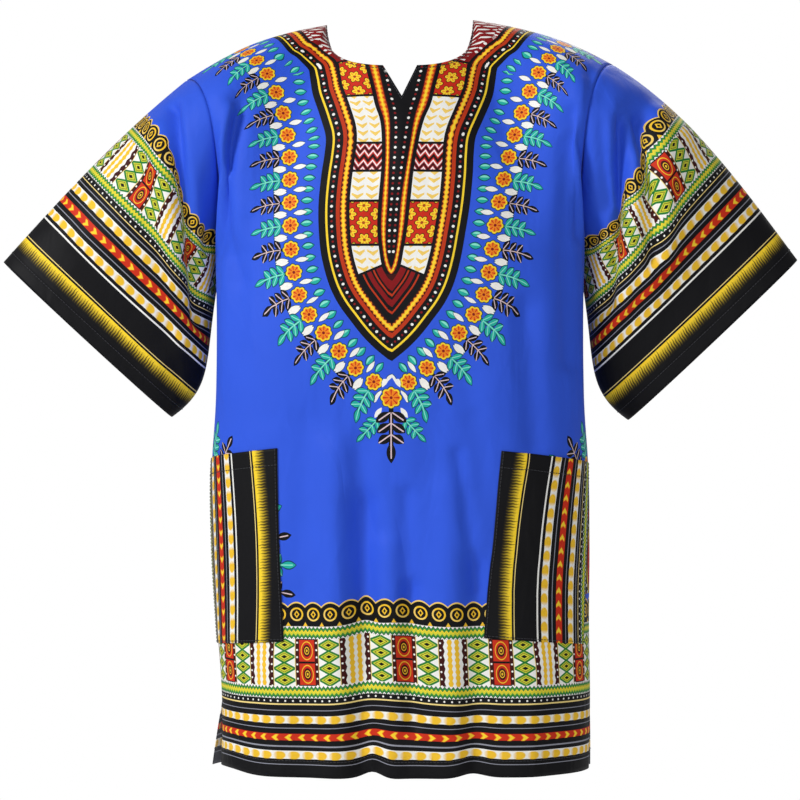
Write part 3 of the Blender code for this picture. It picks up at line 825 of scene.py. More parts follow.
def reach(x, y):
    """Distance from the middle of x and y."""
    return (x * x + y * y).math("SQRT")


# Places of a Mix node's colour sockets, which share their names with its other sockets
MIX_UNDER, MIX_OVER, MIX_RESULT = 6, 7, 2


class Sheet:
    """The nodes of a material or world. Its node method adds any node: type, settings, then sockets."""

    def __init__(self, owner, last="Principled BSDF"):
        owner.use_nodes = True
        self.owner, self.tree = owner, owner.node_tree
        self.last = self.tree.nodes[last]

    def node(self, kind, settings=None, sockets=(), output=0):
        made = self.tree.nodes.new(kind)
        for name, value in (settings or {}).items():
            if name == "stops":
                self.set_stops(made.color_ramp, value)
            elif name == "knots":
                self.set_knots(made.mapping, value)
            else:
                setattr(made, name, value)
        self.feed(made, sockets)
        return Field(self, made.outputs[output])

    def feed(self, node, sockets):
        """Links each field to its socket, and sets every other value on it."""
        pairs = sockets.items() if isinstance(sockets, dict) else enumerate(sockets)
        for key, value in pairs:
            if isinstance(value, Field):
                self.tree.links.new(value.socket, node.inputs[key])
            else:
                node.inputs[key].default_value = linear(value) if isinstance(value, Ink) else value

    def finished(self, sockets):
        """The material or world, once its last node is fed."""
        self.feed(self.last, sockets)
        return self.owner

    def set_stops(self, ramp, stops):
        ramp.interpolation = "CONSTANT"
        for place, _ in stops[2:]:
            ramp.elements.new(place)
        for element, (place, ink) in zip(ramp.elements, stops):
            element.position, element.color = place, linear(ink)

    def set_knots(self, mapping, knots):
        curve = mapping.curves[0]
        for place, value in knots[1:-1]:
            curve.points.new(place, value)
        for point, (place, value) in zip(curve.points, knots):
            point.location = (place, value)
        mapping.update()

    def math(self, operation, *values):
        return self.node("ShaderNodeMath", {"operation": operation}, values)

    def object_place(self):
        return self.node("ShaderNodeTexCoord", output="Object")

    def noise(self, place, scale, detail, distortion=0.0):
        sockets = {"Vector": place, "Scale": scale, "Detail": detail, "Distortion": distortion}
        return self.node("ShaderNodeTexNoise", None, sockets)

    def flat(self, name, unit=PRINT_UNIT):
        """The two lengths of a map, in print units."""
        place = self.node("ShaderNodeUVMap", {"uv_map": name})
        sockets = {"Vector": place, "Scale": 1.0 / unit}
        scaled = self.node("ShaderNodeVectorMath", {"operation": "SCALE"}, sockets)
        split = self.node("ShaderNodeSeparateXYZ", None, [scaled])
        return split, Field(self, split.socket.node.outputs["Y"])

    def stripes(self, value, stripes):
        """Bands of colour, each from its own start up to the next."""
        low, high = stripes[0][0], stripes[-1][0]
        stops = [((start - low) / (high - low), ink) for start, ink in stripes]
        return self.node("ShaderNodeValToRGB", {"stops": stops}, [(value - low) / (high - low)])

    def curve(self, value, knots):
        """A smooth curve through pairs of place and height."""
        low, high = knots[0][0], knots[-1][0]
        top = max(height for _, height in knots)
        points = [((place - low) / (high - low), height / top) for place, height in knots]
        share = (value - low) / (high - low)
        return self.node("ShaderNodeFloatCurve", {"knots": points}, {"Value": share}) * top

    def mix(self, share, under, over):
        sockets = {"Factor": share, MIX_UNDER: under, MIX_OVER: over}
        return self.node("ShaderNodeMix", {"data_type": "RGBA"}, sockets, MIX_RESULT)


class Paint:
    """A colour laid on in coats, each over the ones before it."""

    def __init__(self, sheet, colour):
        self.sheet, self.colour = sheet, colour

    def lay(self, share, colour):
        self.colour = self.sheet.mix(share, self.colour, colour)

    def nest(self, here, inside, *coats):
        """Lays each coat on where the place lies further inside than the coat's level."""
        for level, colour in coats:
            self.lay(here & (inside > level), colour)

    def zigzag(self, here, distance, tooth, *coats):
        """Lays coats about a line, each within its half width and its share of the tooth."""
        for half, share, colour in coats:
            self.lay(here & (distance < tooth * share + half), colour)

    def dot_row(self, here, across, along_row, radius):
        """Lays white dots on, with small dark red ones between them."""
        self.lay(here & dots(across, along_row, DOT_REPEAT, radius), WHITE)
        self.lay(here & dots(across, along_row + DOT_REPEAT / 2, DOT_REPEAT, SMALL_DOT), DARK_RED)


# Yoke, in print units: half widths of the blocks' inner edge and of the placket at places down
BLOCK_EDGE = (
    (45, 38.6), (75, 31.7), (89, 28.6), (111, 21.4), (131, 18.5), (158, 16.5), (192, 16.0), (218, 15.2),
    (241, 12.4), (259, 8.9), (267, 0.0),
)
PLACKET_EDGE = (
    (45, 25.0), (75, 19.0), (111, 11.4), (131, 10.0), (157, 8.3), (192, 6.2), (220, 6.0), (241, 4.8),
    (254, 2.2), (260, 0.0),
)
YOKE_BANDS = (
    (0, BLACK), (7, YELLOW), (9.0, BLACK), (17.8, BRICK), (21.4, MAROON), (28.6, BLACK), (60, BLACK),
)
PLACKET_DOTS_TO = 248
YOKE_NARROWS, YOKE_NARROWS_TO = 4.0, 55
YOKE_DOTS_AT = 13.3
DOT_REPEAT = 10.6
YOKE_ZIGZAG_AT = 25.1
TOOTH_REPEAT = 5.2
BLOCKS_FROM = 31.5
BLOCK_WIDTH = 27.0
SHOULDER_TO = 34.5
SLIVER_REPEAT, SLIVER_LENGTH, SLIVER_STEP = 6.4, 17, 7.3
CHEVRON_REPEAT = 8.2
SMALL_DOT = 1.2
DAISY_BLOCKS = ((37.0, 79.0), (193.6, 235.6))
DAISY_ROWS_AT, DAISY_REPEAT = 58.0, 17.4
WHITE_BLOCKS, LAST_BLOCK_FROM = ((81.5, 131.0), (162.7, 191.1)), 238.1
ZIGZAG_BLOCK = (133.5, 160.2)
BLOCKS_END, BLOCKS_SLOPE = 252.5, 0.42
ZIGZAG_BANDS = (
    (0.0, BLACK), (0.10, MAROON), (0.24, RED), (0.42, PINK), (0.50, WHITE), (0.66, PINK), (0.74, DARK_RED),
    (0.90, BLACK), (1.0, BLACK),
)
POINT_BANDS = (
    (0, BLACK), (3.5, BRICK), (5.0, BLACK), (8.0, DARK_RED), (12.5, BLACK), (14.5, BRICK), (16.0, BLACK),
    (18.0, DARK_RED), (24.0, MAROON), (60, MAROON),
)


def dots(across, along_row, repeat, radius):
    """Round dots in a row: distance from the nearest dot's middle under the radius."""
    return reach(across, along_row.swing(repeat)) < radius


def daisy(x, y, size, petals, share):
    """How far inside a round flower: its rim swings with the angle, once for each petal."""
    petal = abs((y.math("ARCTAN2", x) * (petals / 2)).math("COSINE"))
    return (petal * share + (1.0 - share)) * size - reach(x, y), petal


def shoulder_field(paint, side, down, depth, run):
    """Dark red with white slivers across and short white dashes along its edge."""
    here = (depth > BLOCKS_FROM) & (down < SHOULDER_TO)
    paint.lay(here, DARK_RED)
    step = (down / SLIVER_REPEAT + 0.5).math("FLOOR") * SLIVER_STEP
    sliver = abs(down.fold(SLIVER_REPEAT)) + (side + step).fold(SLIVER_LENGTH) ** 2 * 0.022
    paint.lay(here & (sliver < 1.35) & (depth > BLOCKS_FROM + 5), WHITE)
    dash = reach(run.swing(6.6) * 1.6, depth - BLOCKS_FROM - 2.6)
    paint.lay(here & (dash < 2.2), WHITE)


def chevron_blocks(paint, column, down, in_blocks, end):
    """White blocks with two columns of golden chevrons that point down."""
    here = down.within(*WHITE_BLOCKS[0]) | down.within(*WHITE_BLOCKS[1])
    here = (here | ((down > LAST_BLOCK_FROM) & end)) & in_blocks
    paint.lay(here, WHITE)
    from_middle = abs(abs(column) - BLOCK_WIDTH / 4)
    stroke = (down + from_middle * 0.62).swing(CHEVRON_REPEAT) + from_middle * 0.20
    paint.lay(here & (stroke < 2.1) & (from_middle < 5.6), PALE_GOLD)


def daisy_blocks(paint, column, down, in_blocks):
    """Yellow daisies on red, every other row half a step on."""
    here = (down.within(*DAISY_BLOCKS[0]) | down.within(*DAISY_BLOCKS[1])) & in_blocks
    paint.lay(here, RED)
    level = down - DAISY_ROWS_AT
    rows = level.fold(DAISY_REPEAT), (level - DAISY_REPEAT / 2).fold(DAISY_REPEAT)
    for x, y in ((column, rows[0]), (abs(column) - BLOCK_WIDTH / 2, rows[1])):
        inside, petal = daisy(x, y, 6.6, 6, 0.42)
        paint.nest(here, inside, (-0.9, MAROON), (0, YELLOW))
        paint.lay(here & (reach(x, y) < 1.5), DARK_RED)
        paint.lay(here & (inside > 1.4) & (petal > 0.93), ORANGE)


def placket(paint, side, down, block_edge):
    """The band with a zigzag down both sides of the slit, and two rows of dots between."""
    edge = paint.sheet.curve(down, PLACKET_EDGE)
    share = (side - edge) / (block_edge - 3.4 - edge)
    in_band = share.within(0.0, 1.0) & (block_edge - edge > 3.7)
    tooth = down.swing(TOOTH_REPEAT)
    paint.lay(side < block_edge, BLACK)
    paint.lay(in_band, MAROON)
    from_middle = abs(share - 0.5)
    paint.zigzag(in_band, from_middle, tooth, (0.40, 0.0, BRICK), (0.18, 0.07, ORANGE), (0.06, 0.05, YELLOW))
    row = side - (edge * 0.46).at_least(edge - 5.5)
    paint.dot_row((side < edge) & (down < PLACKET_DOTS_TO), row, down, 1.4)


def yoke_print(sheet, ground):
    across, down = sheet.flat("print")
    depth, run = sheet.flat("yoke")
    side = abs(across)
    paint = Paint(sheet, ground)
    narrow = (1.0 - down / YOKE_NARROWS_TO).at_least(0.0).at_most(1.0) * YOKE_NARROWS
    banded = (depth + narrow * (depth / 8).at_most(1.0)).at_least(0.0)
    in_yoke = depth > 0
    paint.lay(in_yoke, sheet.stripes(banded, YOKE_BANDS))
    paint.dot_row(in_yoke, banded - YOKE_DOTS_AT, run, 1.5)
    from_zigzag = abs(banded - YOKE_ZIGZAG_AT)
    paint.zigzag(in_yoke, from_zigzag, run.swing(TOOTH_REPEAT), (1.5, 0.6, ORANGE), (0.7, 0.45, YELLOW))
    shoulder_field(paint, side, down, banded, run)
    block_edge = sheet.curve(down, BLOCK_EDGE)
    gap = side - block_edge
    column = (gap / (gap + depth - BLOCKS_FROM) - 0.5) * BLOCK_WIDTH
    in_blocks = (gap > 0) & (depth > BLOCKS_FROM)
    last = down - side * BLOCKS_SLOPE
    chevron_blocks(paint, column, down, in_blocks, last < BLOCKS_END)
    level = (down - ZIGZAG_BLOCK[0] + column.swing(BLOCK_WIDTH / 3) * 1.3).swing(17.8) / 8.9
    paint.lay(down.within(*ZIGZAG_BLOCK) & in_blocks, sheet.stripes(level, ZIGZAG_BANDS))
    daisy_blocks(paint, column, down, in_blocks)
    placket(paint, side, down, block_edge)
    panel = (depth > BLOCKS_FROM) & (last > BLOCKS_END + 2.6) & (gap > 0.4)
    paint.lay(panel, sheet.stripes(depth - BLOCKS_FROM, POINT_BANDS))
    return paint.colour


# Wreath: sprays of leaves, each with a flower at its foot, that repeat along its guide
HALF_REPEAT = 24.226
FLOWER_SIZE, FLOWER_AT = 8.6, -6.5
SPRAY_STEP = 7.5
LEAF_COSINE, LEAF_SINE, VEIN_HALF_WIDTH = 0.82, 0.57, 0.42
DROP_AT, DROP_LENGTH, DROP_WIDTH, DROP_REPEAT = -11.4, 6.8, 3.1, 11.4


def leaf(x, y, long, wide):
    """How far inside a pointed leaf: a parabola in x takes the half width down to nothing."""
    return 1.0 - abs(y) / wide - (x / long) ** 2


def in_leaf(x, y):
    """Lengths along and across the nearest leaf: one, 55 degrees from the stem, mirrored and repeated."""
    side, up = abs(x), y.math("WRAP", SPRAY_STEP, 0.0)
    return side * LEAF_COSINE + up * LEAF_SINE, side * LEAF_SINE - up * LEAF_COSINE


def spray(x, y, grow=0.0):
    """A stem with three pairs of leaves and one at its tip; x is across the stem, y along it."""
    along_leaf, from_vein = in_leaf(x, y)
    long = 6.4 + grow * 0.5 - y * 0.07
    pair = leaf(along_leaf - long, from_vein, long, 2.7 + grow) > 0
    tip = leaf(y - 27.0, x, 6.6 + grow, 2.5 + grow) > 0
    return (pair & y.within(0, 3 * SPRAY_STEP)) | tip | ((abs(x) < 1.0 + grow) & y.within(-6, 24))


def spray_veins(x, y):
    """Thin lines down the middle of the leaves and the stem."""
    along_leaf, from_vein = in_leaf(x, y)
    pair = (abs(from_vein) < VEIN_HALF_WIDTH) & along_leaf.within(0.0, 10.0) & y.within(0.5, 3 * SPRAY_STEP)
    return pair | ((abs(x) < VEIN_HALF_WIDTH) & y.within(1, 31))


def flower(paint, x, y, here, size=FLOWER_SIZE):
    """Eight petals: a dark outline, a yellow rim, orange within and red strokes down the petals."""
    inside, petal = daisy(x, y, size, 8, 0.16)
    paint.nest(here, inside, (-0.9, DARK_GREEN), (0.0, YELLOW), (1.7, ORANGE))
    paint.lay(here & (inside > 2.2) & (petal > 0.90) & (reach(x, y) > 2.6), RED)
    paint.lay(here & (reach(x, y) < 1.5), DARK_RED)


def coloured_spray(paint, x, y, here, dark=False):
    paint.lay(here & spray(x, y, 0.55 if dark else 0.95), BLACK if dark else DEEP_TEAL)
    if not dark:
        paint.lay(here & spray(x, y), TEAL)
    paint.lay(here & spray_veins(x, y), ROSE_WHITE if dark else PALE_TEAL)


def drops(paint, depth, run, here):
    """Leaf shapes round the yoke, square to its edge, dark at the rim and pale along one side."""
    x, y = (run + DROP_REPEAT / 2).fold(DROP_REPEAT), depth - DROP_AT
    inside = leaf(y + 0.6, x, DROP_LENGTH, DROP_WIDTH + 0.5)
    paint.nest(here, inside, (-0.05, DEEP_TEAL), (0.22, TEAL))
    paint.lay(here & (inside > 0.36) & (x > 0.2) & (y < 3.5), PALE_TEAL)


def turned(x, y, slope):
    """x and y turned so that y runs towards greater x by the slope."""
    scale = (1.0 + slope**2) ** -0.5
    return (x - y * slope) * scale, (y + x * slope) * scale


def tip_of_wreath(paint, side, down):
    """Where the wreath's halves meet: white leaves, two small sprays and a long dark one."""
    for place, at, slope in ((13.0, 405.0, 0.7), (6.5, 374.0, 0.45)):
        x, y = turned(side - place, down - at, slope)
        paint.lay(leaf(y, x, 6.2, 2.5) > 0, WHITE)
    x, y = turned(side - 14.5, down - 413.0, 0.95)
    coloured_spray(paint, x * 1.15, y * 1.15, down > 380)
    coloured_spray(paint, side * 0.66, (down - 404.0) * 0.66, down > 380, dark=True)
    flower(paint, side, down - 390.0, down > 370, 10.5)


def wreath_print(sheet, ground, with_tip=False):
    out, run = sheet.flat("wreath")
    depth, edge_run = sheet.flat("yoke")
    paint = Paint(sheet, ground)
    drops(paint, depth, edge_run, depth < -2.0)
    here = out.within(-24, 45) & (run > HALF_REPEAT / 2)
    away = abs((run + HALF_REPEAT / 2).fold(HALF_REPEAT))
    for place, at in ((1.0, 4.0), (0.0, -17.0)):
        paint.nest(here, leaf(out - at, away - place, 7.0, 2.6), (-0.25, DEEP_TEAL), (0, WHITE))
    droop = (out - 8).at_least(0.0) ** 2 * 0.006
    coloured_spray(paint, (run + HALF_REPEAT).fold(2 * HALF_REPEAT) + droop, out - 4, here)
    coloured_spray(paint, run.fold(2 * HALF_REPEAT) + droop, out - 4, here, dark=True)
    flower(paint, run.fold(HALF_REPEAT), out - FLOWER_AT, here)
    if with_tip:
        across, down = sheet.flat("print")
        tip_of_wreath(paint, abs(across), down)
    return paint.colour


# Side medallion: a round of sprays about a red disc, its middle on each side seam
MEDALLION_UNIT, MEDALLION_DOWN, MEDALLION_REACH = 0.00109, 0.538, 0.156
MEDALLION_BANDS = (
    (0, MAROON), (5, GOLD), (7, RED), (21, MAROON), (23, RED), (33, BLACK), (36, YELLOW), (38.5, BLACK),
    (47, SCARLET), (52, MAROON), (58, BLACK), (63, BLACK),
)
DISC_DOTS_AT, DISC_DOTS_ROUND, DISC_DOT_REPEAT = 42.5, 42, 7.33
DISC_LEAVES_AT, DISC_LEAVES_ROUND = 66.0, 76.2
SPRAYS_FROM, FLOWERS_AT, SPRAYS_AT, SPRAYS_ROUND, SPRAY_REPEAT = 84, 95, 104, 108, 42.4


def medallion_print(sheet, ground):
    """Rings read by the distance from the middle, and figures by the angle times a radius."""
    from_seam, down = sheet.flat("side", MEDALLION_UNIT)
    paint = Paint(sheet, ground)
    level = down - MEDALLION_DOWN / MEDALLION_UNIT
    radius = reach(from_seam, level)
    turn = level.math("ARCTAN2", from_seam)
    paint.lay(radius < MEDALLION_BANDS[-1][0], sheet.stripes(radius, MEDALLION_BANDS))
    paint.lay(dots(radius - DISC_DOTS_AT, turn * DISC_DOTS_ROUND, DISC_DOT_REPEAT, 1.5), WHITE)
    drops(paint, DISC_LEAVES_AT - radius, turn * DISC_LEAVES_ROUND, radius > DISC_LEAVES_AT)
    ring, here = turn * SPRAYS_ROUND, radius > SPRAYS_FROM
    coloured_spray(paint, ring.fold(SPRAY_REPEAT), radius - SPRAYS_AT, here)
    coloured_spray(paint, (ring + SPRAY_REPEAT / 2).fold(SPRAY_REPEAT), radius - SPRAYS_AT, here, dark=True)
    flower(paint, ring.fold(SPRAY_REPEAT / 2), radius - FLOWERS_AT, here)
    return paint.colour


# Borders, in print units up from the hem or the cuff
Border = namedtuple(
    "Border", "cloth unit glow lines gold_at arrows_at dots_at low_zigzag blocks high_zigzag rings_at top"
)
HEM_BORDER = Border(
    cloth="hem", unit=PRINT_UNIT, glow=None,
    lines=(
        (0, BLACK), (12.2, GREY), (13.3, BLACK), (18.2, WHITE), (26.0, BLACK), (30.3, GREY), (31.4, BLACK),
        (36.5, SCARLET), (43.6, BLACK), (48.5, GREY), (49.6, BLACK), (53.8, WHITE), (61.6, BLACK),
        (66.2, GREY), (67.3, BLACK), (72.4, CREAM), (73.9, BLACK), (92.0, MAROON), (139.0, BLACK),
        (190.0, BLACK),
    ),
    gold_at=(22.1, 57.7), arrows_at=40.0, dots_at=76.8, low_zigzag=(79.5, 92.0), blocks=(92.0, 139.0),
    high_zigzag=(139.0, 151.5), rings_at=163.6, top=171.6,
)
CUFF_BORDER = Border(
    cloth="cuff", unit=CUFF_UNIT, glow=(19.0, 33.8),
    lines=(
        (0, BLACK), (34.4, BLACK), (35.4, CREAM), (36.6, BLACK), (61.0, WHITE), (62.1, BLACK), (66.0, WHITE),
        (74.2, BLACK), (78.2, GREY), (79.4, BLACK), (84.2, SCARLET), (91.8, BLACK), (96.4, GREY),
        (97.6, BLACK), (101.0, WHITE), (109.0, BLACK), (112.4, GREY), (113.6, BLACK), (116.8, CREAM),
        (118.3, BLACK),
        (135.0, MAROON), (180.0, BLACK), (230.0, BLACK),
    ),
    gold_at=(70.1, 105.0), arrows_at=88.0, dots_at=121.2, low_zigzag=(124.5, 135.5), blocks=(135.5, 180.0),
    high_zigzag=(180.0, 190.5), rings_at=199.2, top=205.0,
)
POCKET_STARTS_AT = 5.0
BLOCK_REPEAT, LATTICE_MIDDLE, RING_REPEAT = 98.0, 23.2, 18.0
ZIGZAG_TALL, ZIGZAG_REPEAT = 12.5, 4.3
GOLD_REPEAT, ARROW_REPEAT, THREAD_REPEAT = 14.3, 13.4, 2.9
BLOCK_COLUMNS = (
    (0, SCARLET), (8.0, MAROON), (12.5, WHITE), (33.9, MAROON), (38.6, WHITE), (49.0, WHITE),
)
LATTICE_RINGS = (
    (0.0, BLACK), (0.3, LIME), (0.56, DARK_GREEN), (0.66, LIME), (0.82, GREEN), (1.0, DARK_GREEN),
    (1.08, GREEN), (1.2, WHITE), (2.0, WHITE),
)
ROSETTE_RINGS = (
    (0.0, GOLD), (0.14, MAROON), (0.3, GOLD), (0.4, MAROON), (0.62, RED), (0.86, GOLD), (0.97, SCARLET),
    (2.0, SCARLET),
)
ZIGZAG_ROWS = (
    (-3.0, BLACK), (0.0, WHITE), (1.6, DARK_GREEN), (2.6, GREEN), (4.8, LIME), (7.4, YELLOW), (8.6, GREEN),
    (11.0, DARK_GREEN), (11.9, WHITE), (16.0, WHITE),
)


def zigzag_band(paint, across, height, band):
    """Rows of teeth: the rows' own bands are read at a height that swings with the place along."""
    scale = ZIGZAG_TALL / (band[1] - band[0])
    level = (height - band[0]) * scale + across.swing(ZIGZAG_REPEAT) * 1.2 - 0.6
    paint.lay(height.within(*band), paint.sheet.stripes(level, ZIGZAG_ROWS))


def block_row(paint, across, height, rows):
    """Upright blocks: rosettes on red, lattices of diamonds, dotted bars and scalloped gold."""
    here = height.within(*rows)
    column, level, tall = across.swing(BLOCK_REPEAT), height - rows[0], rows[1] - rows[0]
    from_lattice = abs(column - LATTICE_MIDDLE)
    paint.lay(here, paint.sheet.stripes(column, BLOCK_COLUMNS))
    diamond = from_lattice / 10.7 + (level - 5.8).swing(11.7) / 5.85
    paint.lay(here & column.within(12.5, 33.9), paint.sheet.stripes(diamond, LATTICE_RINGS))
    cell = (level - tall / 4).fold(tall / 2)
    rosette = reach(column / 6.4, cell / 9.6)
    in_rosette = here & (column < 8.0)
    paint.lay(in_rosette, paint.sheet.stripes(rosette, ROSETTE_RINGS))
    paint.lay(in_rosette & (abs(cell) > tall / 4 - 1.0), BLACK)
    lobes = abs(abs(column - BLOCK_REPEAT / 2) - 3.7) - level.swing(5.9) * 0.42
    paint.lay(here & (column > 39.5) & (lobes < 1.5), GOLD)
    scallop = (BLOCK_REPEAT / 2 - column) - level.swing(8.8) * 0.35
    paint.lay(here & (column > 38.6) & (scallop > 8.6), MAROON)
    paint.lay(here & (reach(abs(from_lattice - 13.0), level.swing(7.2)) < 1.0), WHITE)
    paint.lay(here & (abs(from_lattice - 10.9) < 0.35), CREAM)


def ring_band(paint, across, height, border, ground):
    """Gold rings with a lozenge inside, small gold peaks between them and a scalloped edge above."""
    x, y = across.fold(RING_REPEAT), height - border.rings_at
    edge = height - border.top - 4.6 + x**2 * 0.057
    paint.lay(edge > 0, ground)
    paint.lay((edge < 0) & (edge > -1.5) & (height > border.high_zigzag[1]), PALE_GOLD)
    ring = abs(reach(x, y) - 6.0) < 0.85
    lozenge = abs(abs(x) / 2.6 + abs(y) / 3.6 - 0.8) < 0.28
    in_band = height.within(border.high_zigzag[1], border.top + 3)
    paint.lay(in_band & (ring | lozenge), GOLD)
    paint.lay(in_band & (ring & (x + y < 0)), PALE_GOLD)
    peak = height - border.high_zigzag[1]
    between = across.swing(RING_REPEAT) - RING_REPEAT / 2
    paint.lay(peak.within(0.2, 4.2) & (abs(between) + peak * 0.6 < 2.6), GOLD)


def border_stripes(paint, across, out, height, border):
    """Gold rounds on white that fade to one side, arrows on red that point as out grows, and dots."""
    for level in border.gold_at:
        x, y = across.fold(GOLD_REPEAT), height - level
        share = ((1.05 - reach(x / 6.7, y / 4.4)) * 4.5).at_most(1.0).at_least(0.0)
        fade = ((x + 7.0) / 4.8).at_most(1.0).at_least(0.0)
        paint.lay(share * fade & (abs(y) < 3.9), GOLD)
    y = abs(height - border.arrows_at)
    arrow = (out + y * 1.05).swing(ARROW_REPEAT) + y * 0.35
    paint.lay((arrow < 3.1) & (y < 3.2), ORANGE)
    paint.lay((arrow < 2.2) & (y < 3.0), YELLOW)
    paint.lay(dots(height - border.dots_at, across, 7.6, 1.0), WHITE)


def burst(paint, across, height, glow):
    """A yellow glow that fades towards the hem, combed by dark threads that widen as it fades."""
    level = ((height - glow[0]) / (glow[1] - glow[0])).at_least(0.0)
    here = height.within(*glow)
    paint.lay(here & (level**1.3 * 1.25).at_most(1.0), YELLOW)
    ragged = level + (across * 0.83).math("SINE") * 0.08 + (across * 0.31).math("SINE") * 0.09
    thread = (across + (height * 0.9).math("SINE") * 0.2).swing(THREAD_REPEAT)
    paint.lay(here & (thread < (0.90 - ragged) * 1.55) * 0.85, BLACK)


def border_print(sheet, ground, border):
    """A border from its edge up: lines, glow, rounds, arrows, blocks between zigzags, and rings."""
    across, height = sheet.flat(border.cloth, border.unit)
    paint = Paint(sheet, sheet.stripes(height, border.lines))
    if border.glow:
        burst(paint, across, height, border.glow)
    border_stripes(paint, across, abs(across), height, border)
    zigzag_band(paint, across, height, border.low_zigzag)
    block_row(paint, across, height, border.blocks)
    zigzag_band(paint, across, height, border.high_zigzag)
    ring_band(paint, across, height, border, ground)
    return paint.colour


def pocket_stripes(sheet, ground):
    """The cuff's own stripes, turned upright, from the pocket's inner edge outwards."""
    over, up = sheet.flat("stripe")
    over = over + POCKET_STARTS_AT
    paint = Paint(sheet, sheet.stripes(over, CUFF_BORDER.lines))
    burst(paint, up, over, CUFF_BORDER.glow)
    border_stripes(paint, up, up, over, CUFF_BORDER)
    zigzag_band(paint, up, over, CUFF_BORDER.low_zigzag)
    return paint.colour


def plain_ground(sheet, ground):
    return ground


# Cotton: its weave, rumples and creases are heights in metres, and their noise has so many cells a metre
CLOUDS_PER_METRE, CLOUD_DARK = 14.0, 0.14
INSIDE_FADE, INSIDE_TINT = 0.14, Ink(190, 195, 210)
THREAD_PITCH, WEAVE_DEPTH = 0.0009, 0.00003
GROOVE_HALF_WIDTH, GROOVE_DEPTH = 0.0022, 0.0006
DRAWN_DOWN = (1.0, 1.0, 0.45)
RUMPLES_PER_METRE, RUMPLE_DEPTH = 30.0, 0.0042
CRINKLES_PER_METRE, CRINKLE_DEPTH, CRINKLE_GAIN = 9.0, 0.0009, 11.0
BUMP_STRENGTH = 0.6
COTTON = {"Roughness": 0.6, "Specular IOR Level": 0.16, "Sheen Weight": 0.03, "Sheen Roughness": 0.4}


def cloth_finish(name, print_of, map_name, ground, seam=None, **options):
    """Cotton with its print: slight mottling, paler inside, a fine plain weave and soft small creases."""
    sheet = Sheet(bpy.data.materials.new(name))
    colour = print_of(sheet, ground, **options)
    place = sheet.object_place()
    colour = sheet.mix(sheet.noise(place, CLOUDS_PER_METRE, 3.0) * CLOUD_DARK, colour, BLACK)
    inside = sheet.node("ShaderNodeAttribute", {"attribute_name": "inside"}, output="Fac")
    colour = sheet.mix(inside * INSIDE_FADE, colour, INSIDE_TINT)
    across, down = sheet.flat(map_name, THREAD_PITCH / (2 * pi))
    weave = across.math("SINE") * down.math("SINE")
    drawn = sheet.node("ShaderNodeMapping", None, {"Vector": place, "Scale": DRAWN_DOWN})
    rumple = sheet.noise(drawn, RUMPLES_PER_METRE, 2.0, 0.6)
    crinkle = sheet.noise(drawn, CRINKLES_PER_METRE, 1.0, 1.2)
    crinkle = (abs(crinkle - 0.5) * CRINKLE_GAIN).at_most(1.0)
    height = weave * WEAVE_DEPTH + rumple * RUMPLE_DEPTH + crinkle * CRINKLE_DEPTH
    if seam is not None:
        seam_map, seam_at = seam
        _, level = sheet.flat(seam_map, 1.0)
        height = height + (abs(level - seam_at) / GROOVE_HALF_WIDTH).at_most(1.0) * GROOVE_DEPTH
    bump = sheet.node("ShaderNodeBump", None, {"Strength": BUMP_STRENGTH, "Distance": 1.0, "Height": height})
    return sheet.finished({"Base Color": colour, "Normal": bump, **COTTON})


def corner_values(piece, points):
    """The points' values at every face corner; the inner wall repeats the outer one's."""
    mesh = piece.data
    corners = np.zeros(len(mesh.loops), dtype=np.int32)
    mesh.loops.foreach_get("vertex_index", corners)
    flat = points.reshape(-1, points.shape[-1])
    return flat[corners % len(flat)]


def add_maps(piece, maps, girth=None):
    """UV maps of lengths on the flat cloth. Faces across a tube's own seam go on past it."""
    for name, values in maps.items():
        corners = corner_values(piece, values)
        if girth is not None:
            whole = corner_values(piece, girth)[:, 0].reshape(-1, 4)
            around = corners[:, 0].reshape(-1, 4)
            split = (around.max(axis=1) - around.min(axis=1))[:, None] > whole / 2
            corners[:, 0] = (around + np.where(split & (around < 0), whole, 0.0)).ravel()
        layer = piece.data.uv_layers.new(name=name)
        layer.data.foreach_set("uv", corners.astype(np.float32).ravel())
    inside = piece.data.attributes.new("inside", "FLOAT", "POINT")
    count = len(piece.data.vertices)
    inside.data.foreach_set("value", (np.arange(count) >= count // 2).astype(np.float32))


def over_faces(piece, values):
    """The least and the most of the values at each face's corners."""
    corners = corner_values(piece, values[..., None]).reshape(-1, 4)
    return corners.min(axis=1), corners.max(axis=1)


def choose(piece, regions):
    """Gives each face the last material whose region holds it."""
    chosen = np.zeros(len(piece.data.polygons), dtype=np.int32)
    for index, held in regions.items():
        chosen[held] = index
    piece.data.polygons.foreach_set("material_index", chosen)


# Slots of a panel's printed materials, after the plain one
IN_YOKE, IN_WREATH, IN_TIP, IN_MEDALLION, IN_HEM = range(1, 6)


def panel_regions(piece, maps):
    """Which faces show the plain ground, yoke, wreath, its tip, side medallion and hem border."""
    side, from_seam, down = np.abs(maps["print"][..., 0]), maps["side"][..., 0], maps["side"][..., 1]
    nearest_out, farthest_out = over_faces(piece, maps["wreath"][..., 0])
    highest, lowest = over_faces(piece, down)
    from_medallion = np.hypot(from_seam, down - MEDALLION_DOWN)
    near_tip = (over_faces(piece, side)[0] < TIP_SIDE) & (lowest > TIP_FROM) & (highest < TIP_TO)
    return {
        IN_WREATH: (nearest_out < WREATH_OUTER) & (farthest_out > WREATH_INNER),
        IN_TIP: near_tip,
        IN_MEDALLION: over_faces(piece, from_medallion)[0] < MEDALLION_REACH,
        IN_YOKE: over_faces(piece, maps["yoke"][..., 0])[1] > 0.0,
        IN_HEM: over_faces(piece, maps["hem"][..., 1])[0] < HEM_TOP,
    }


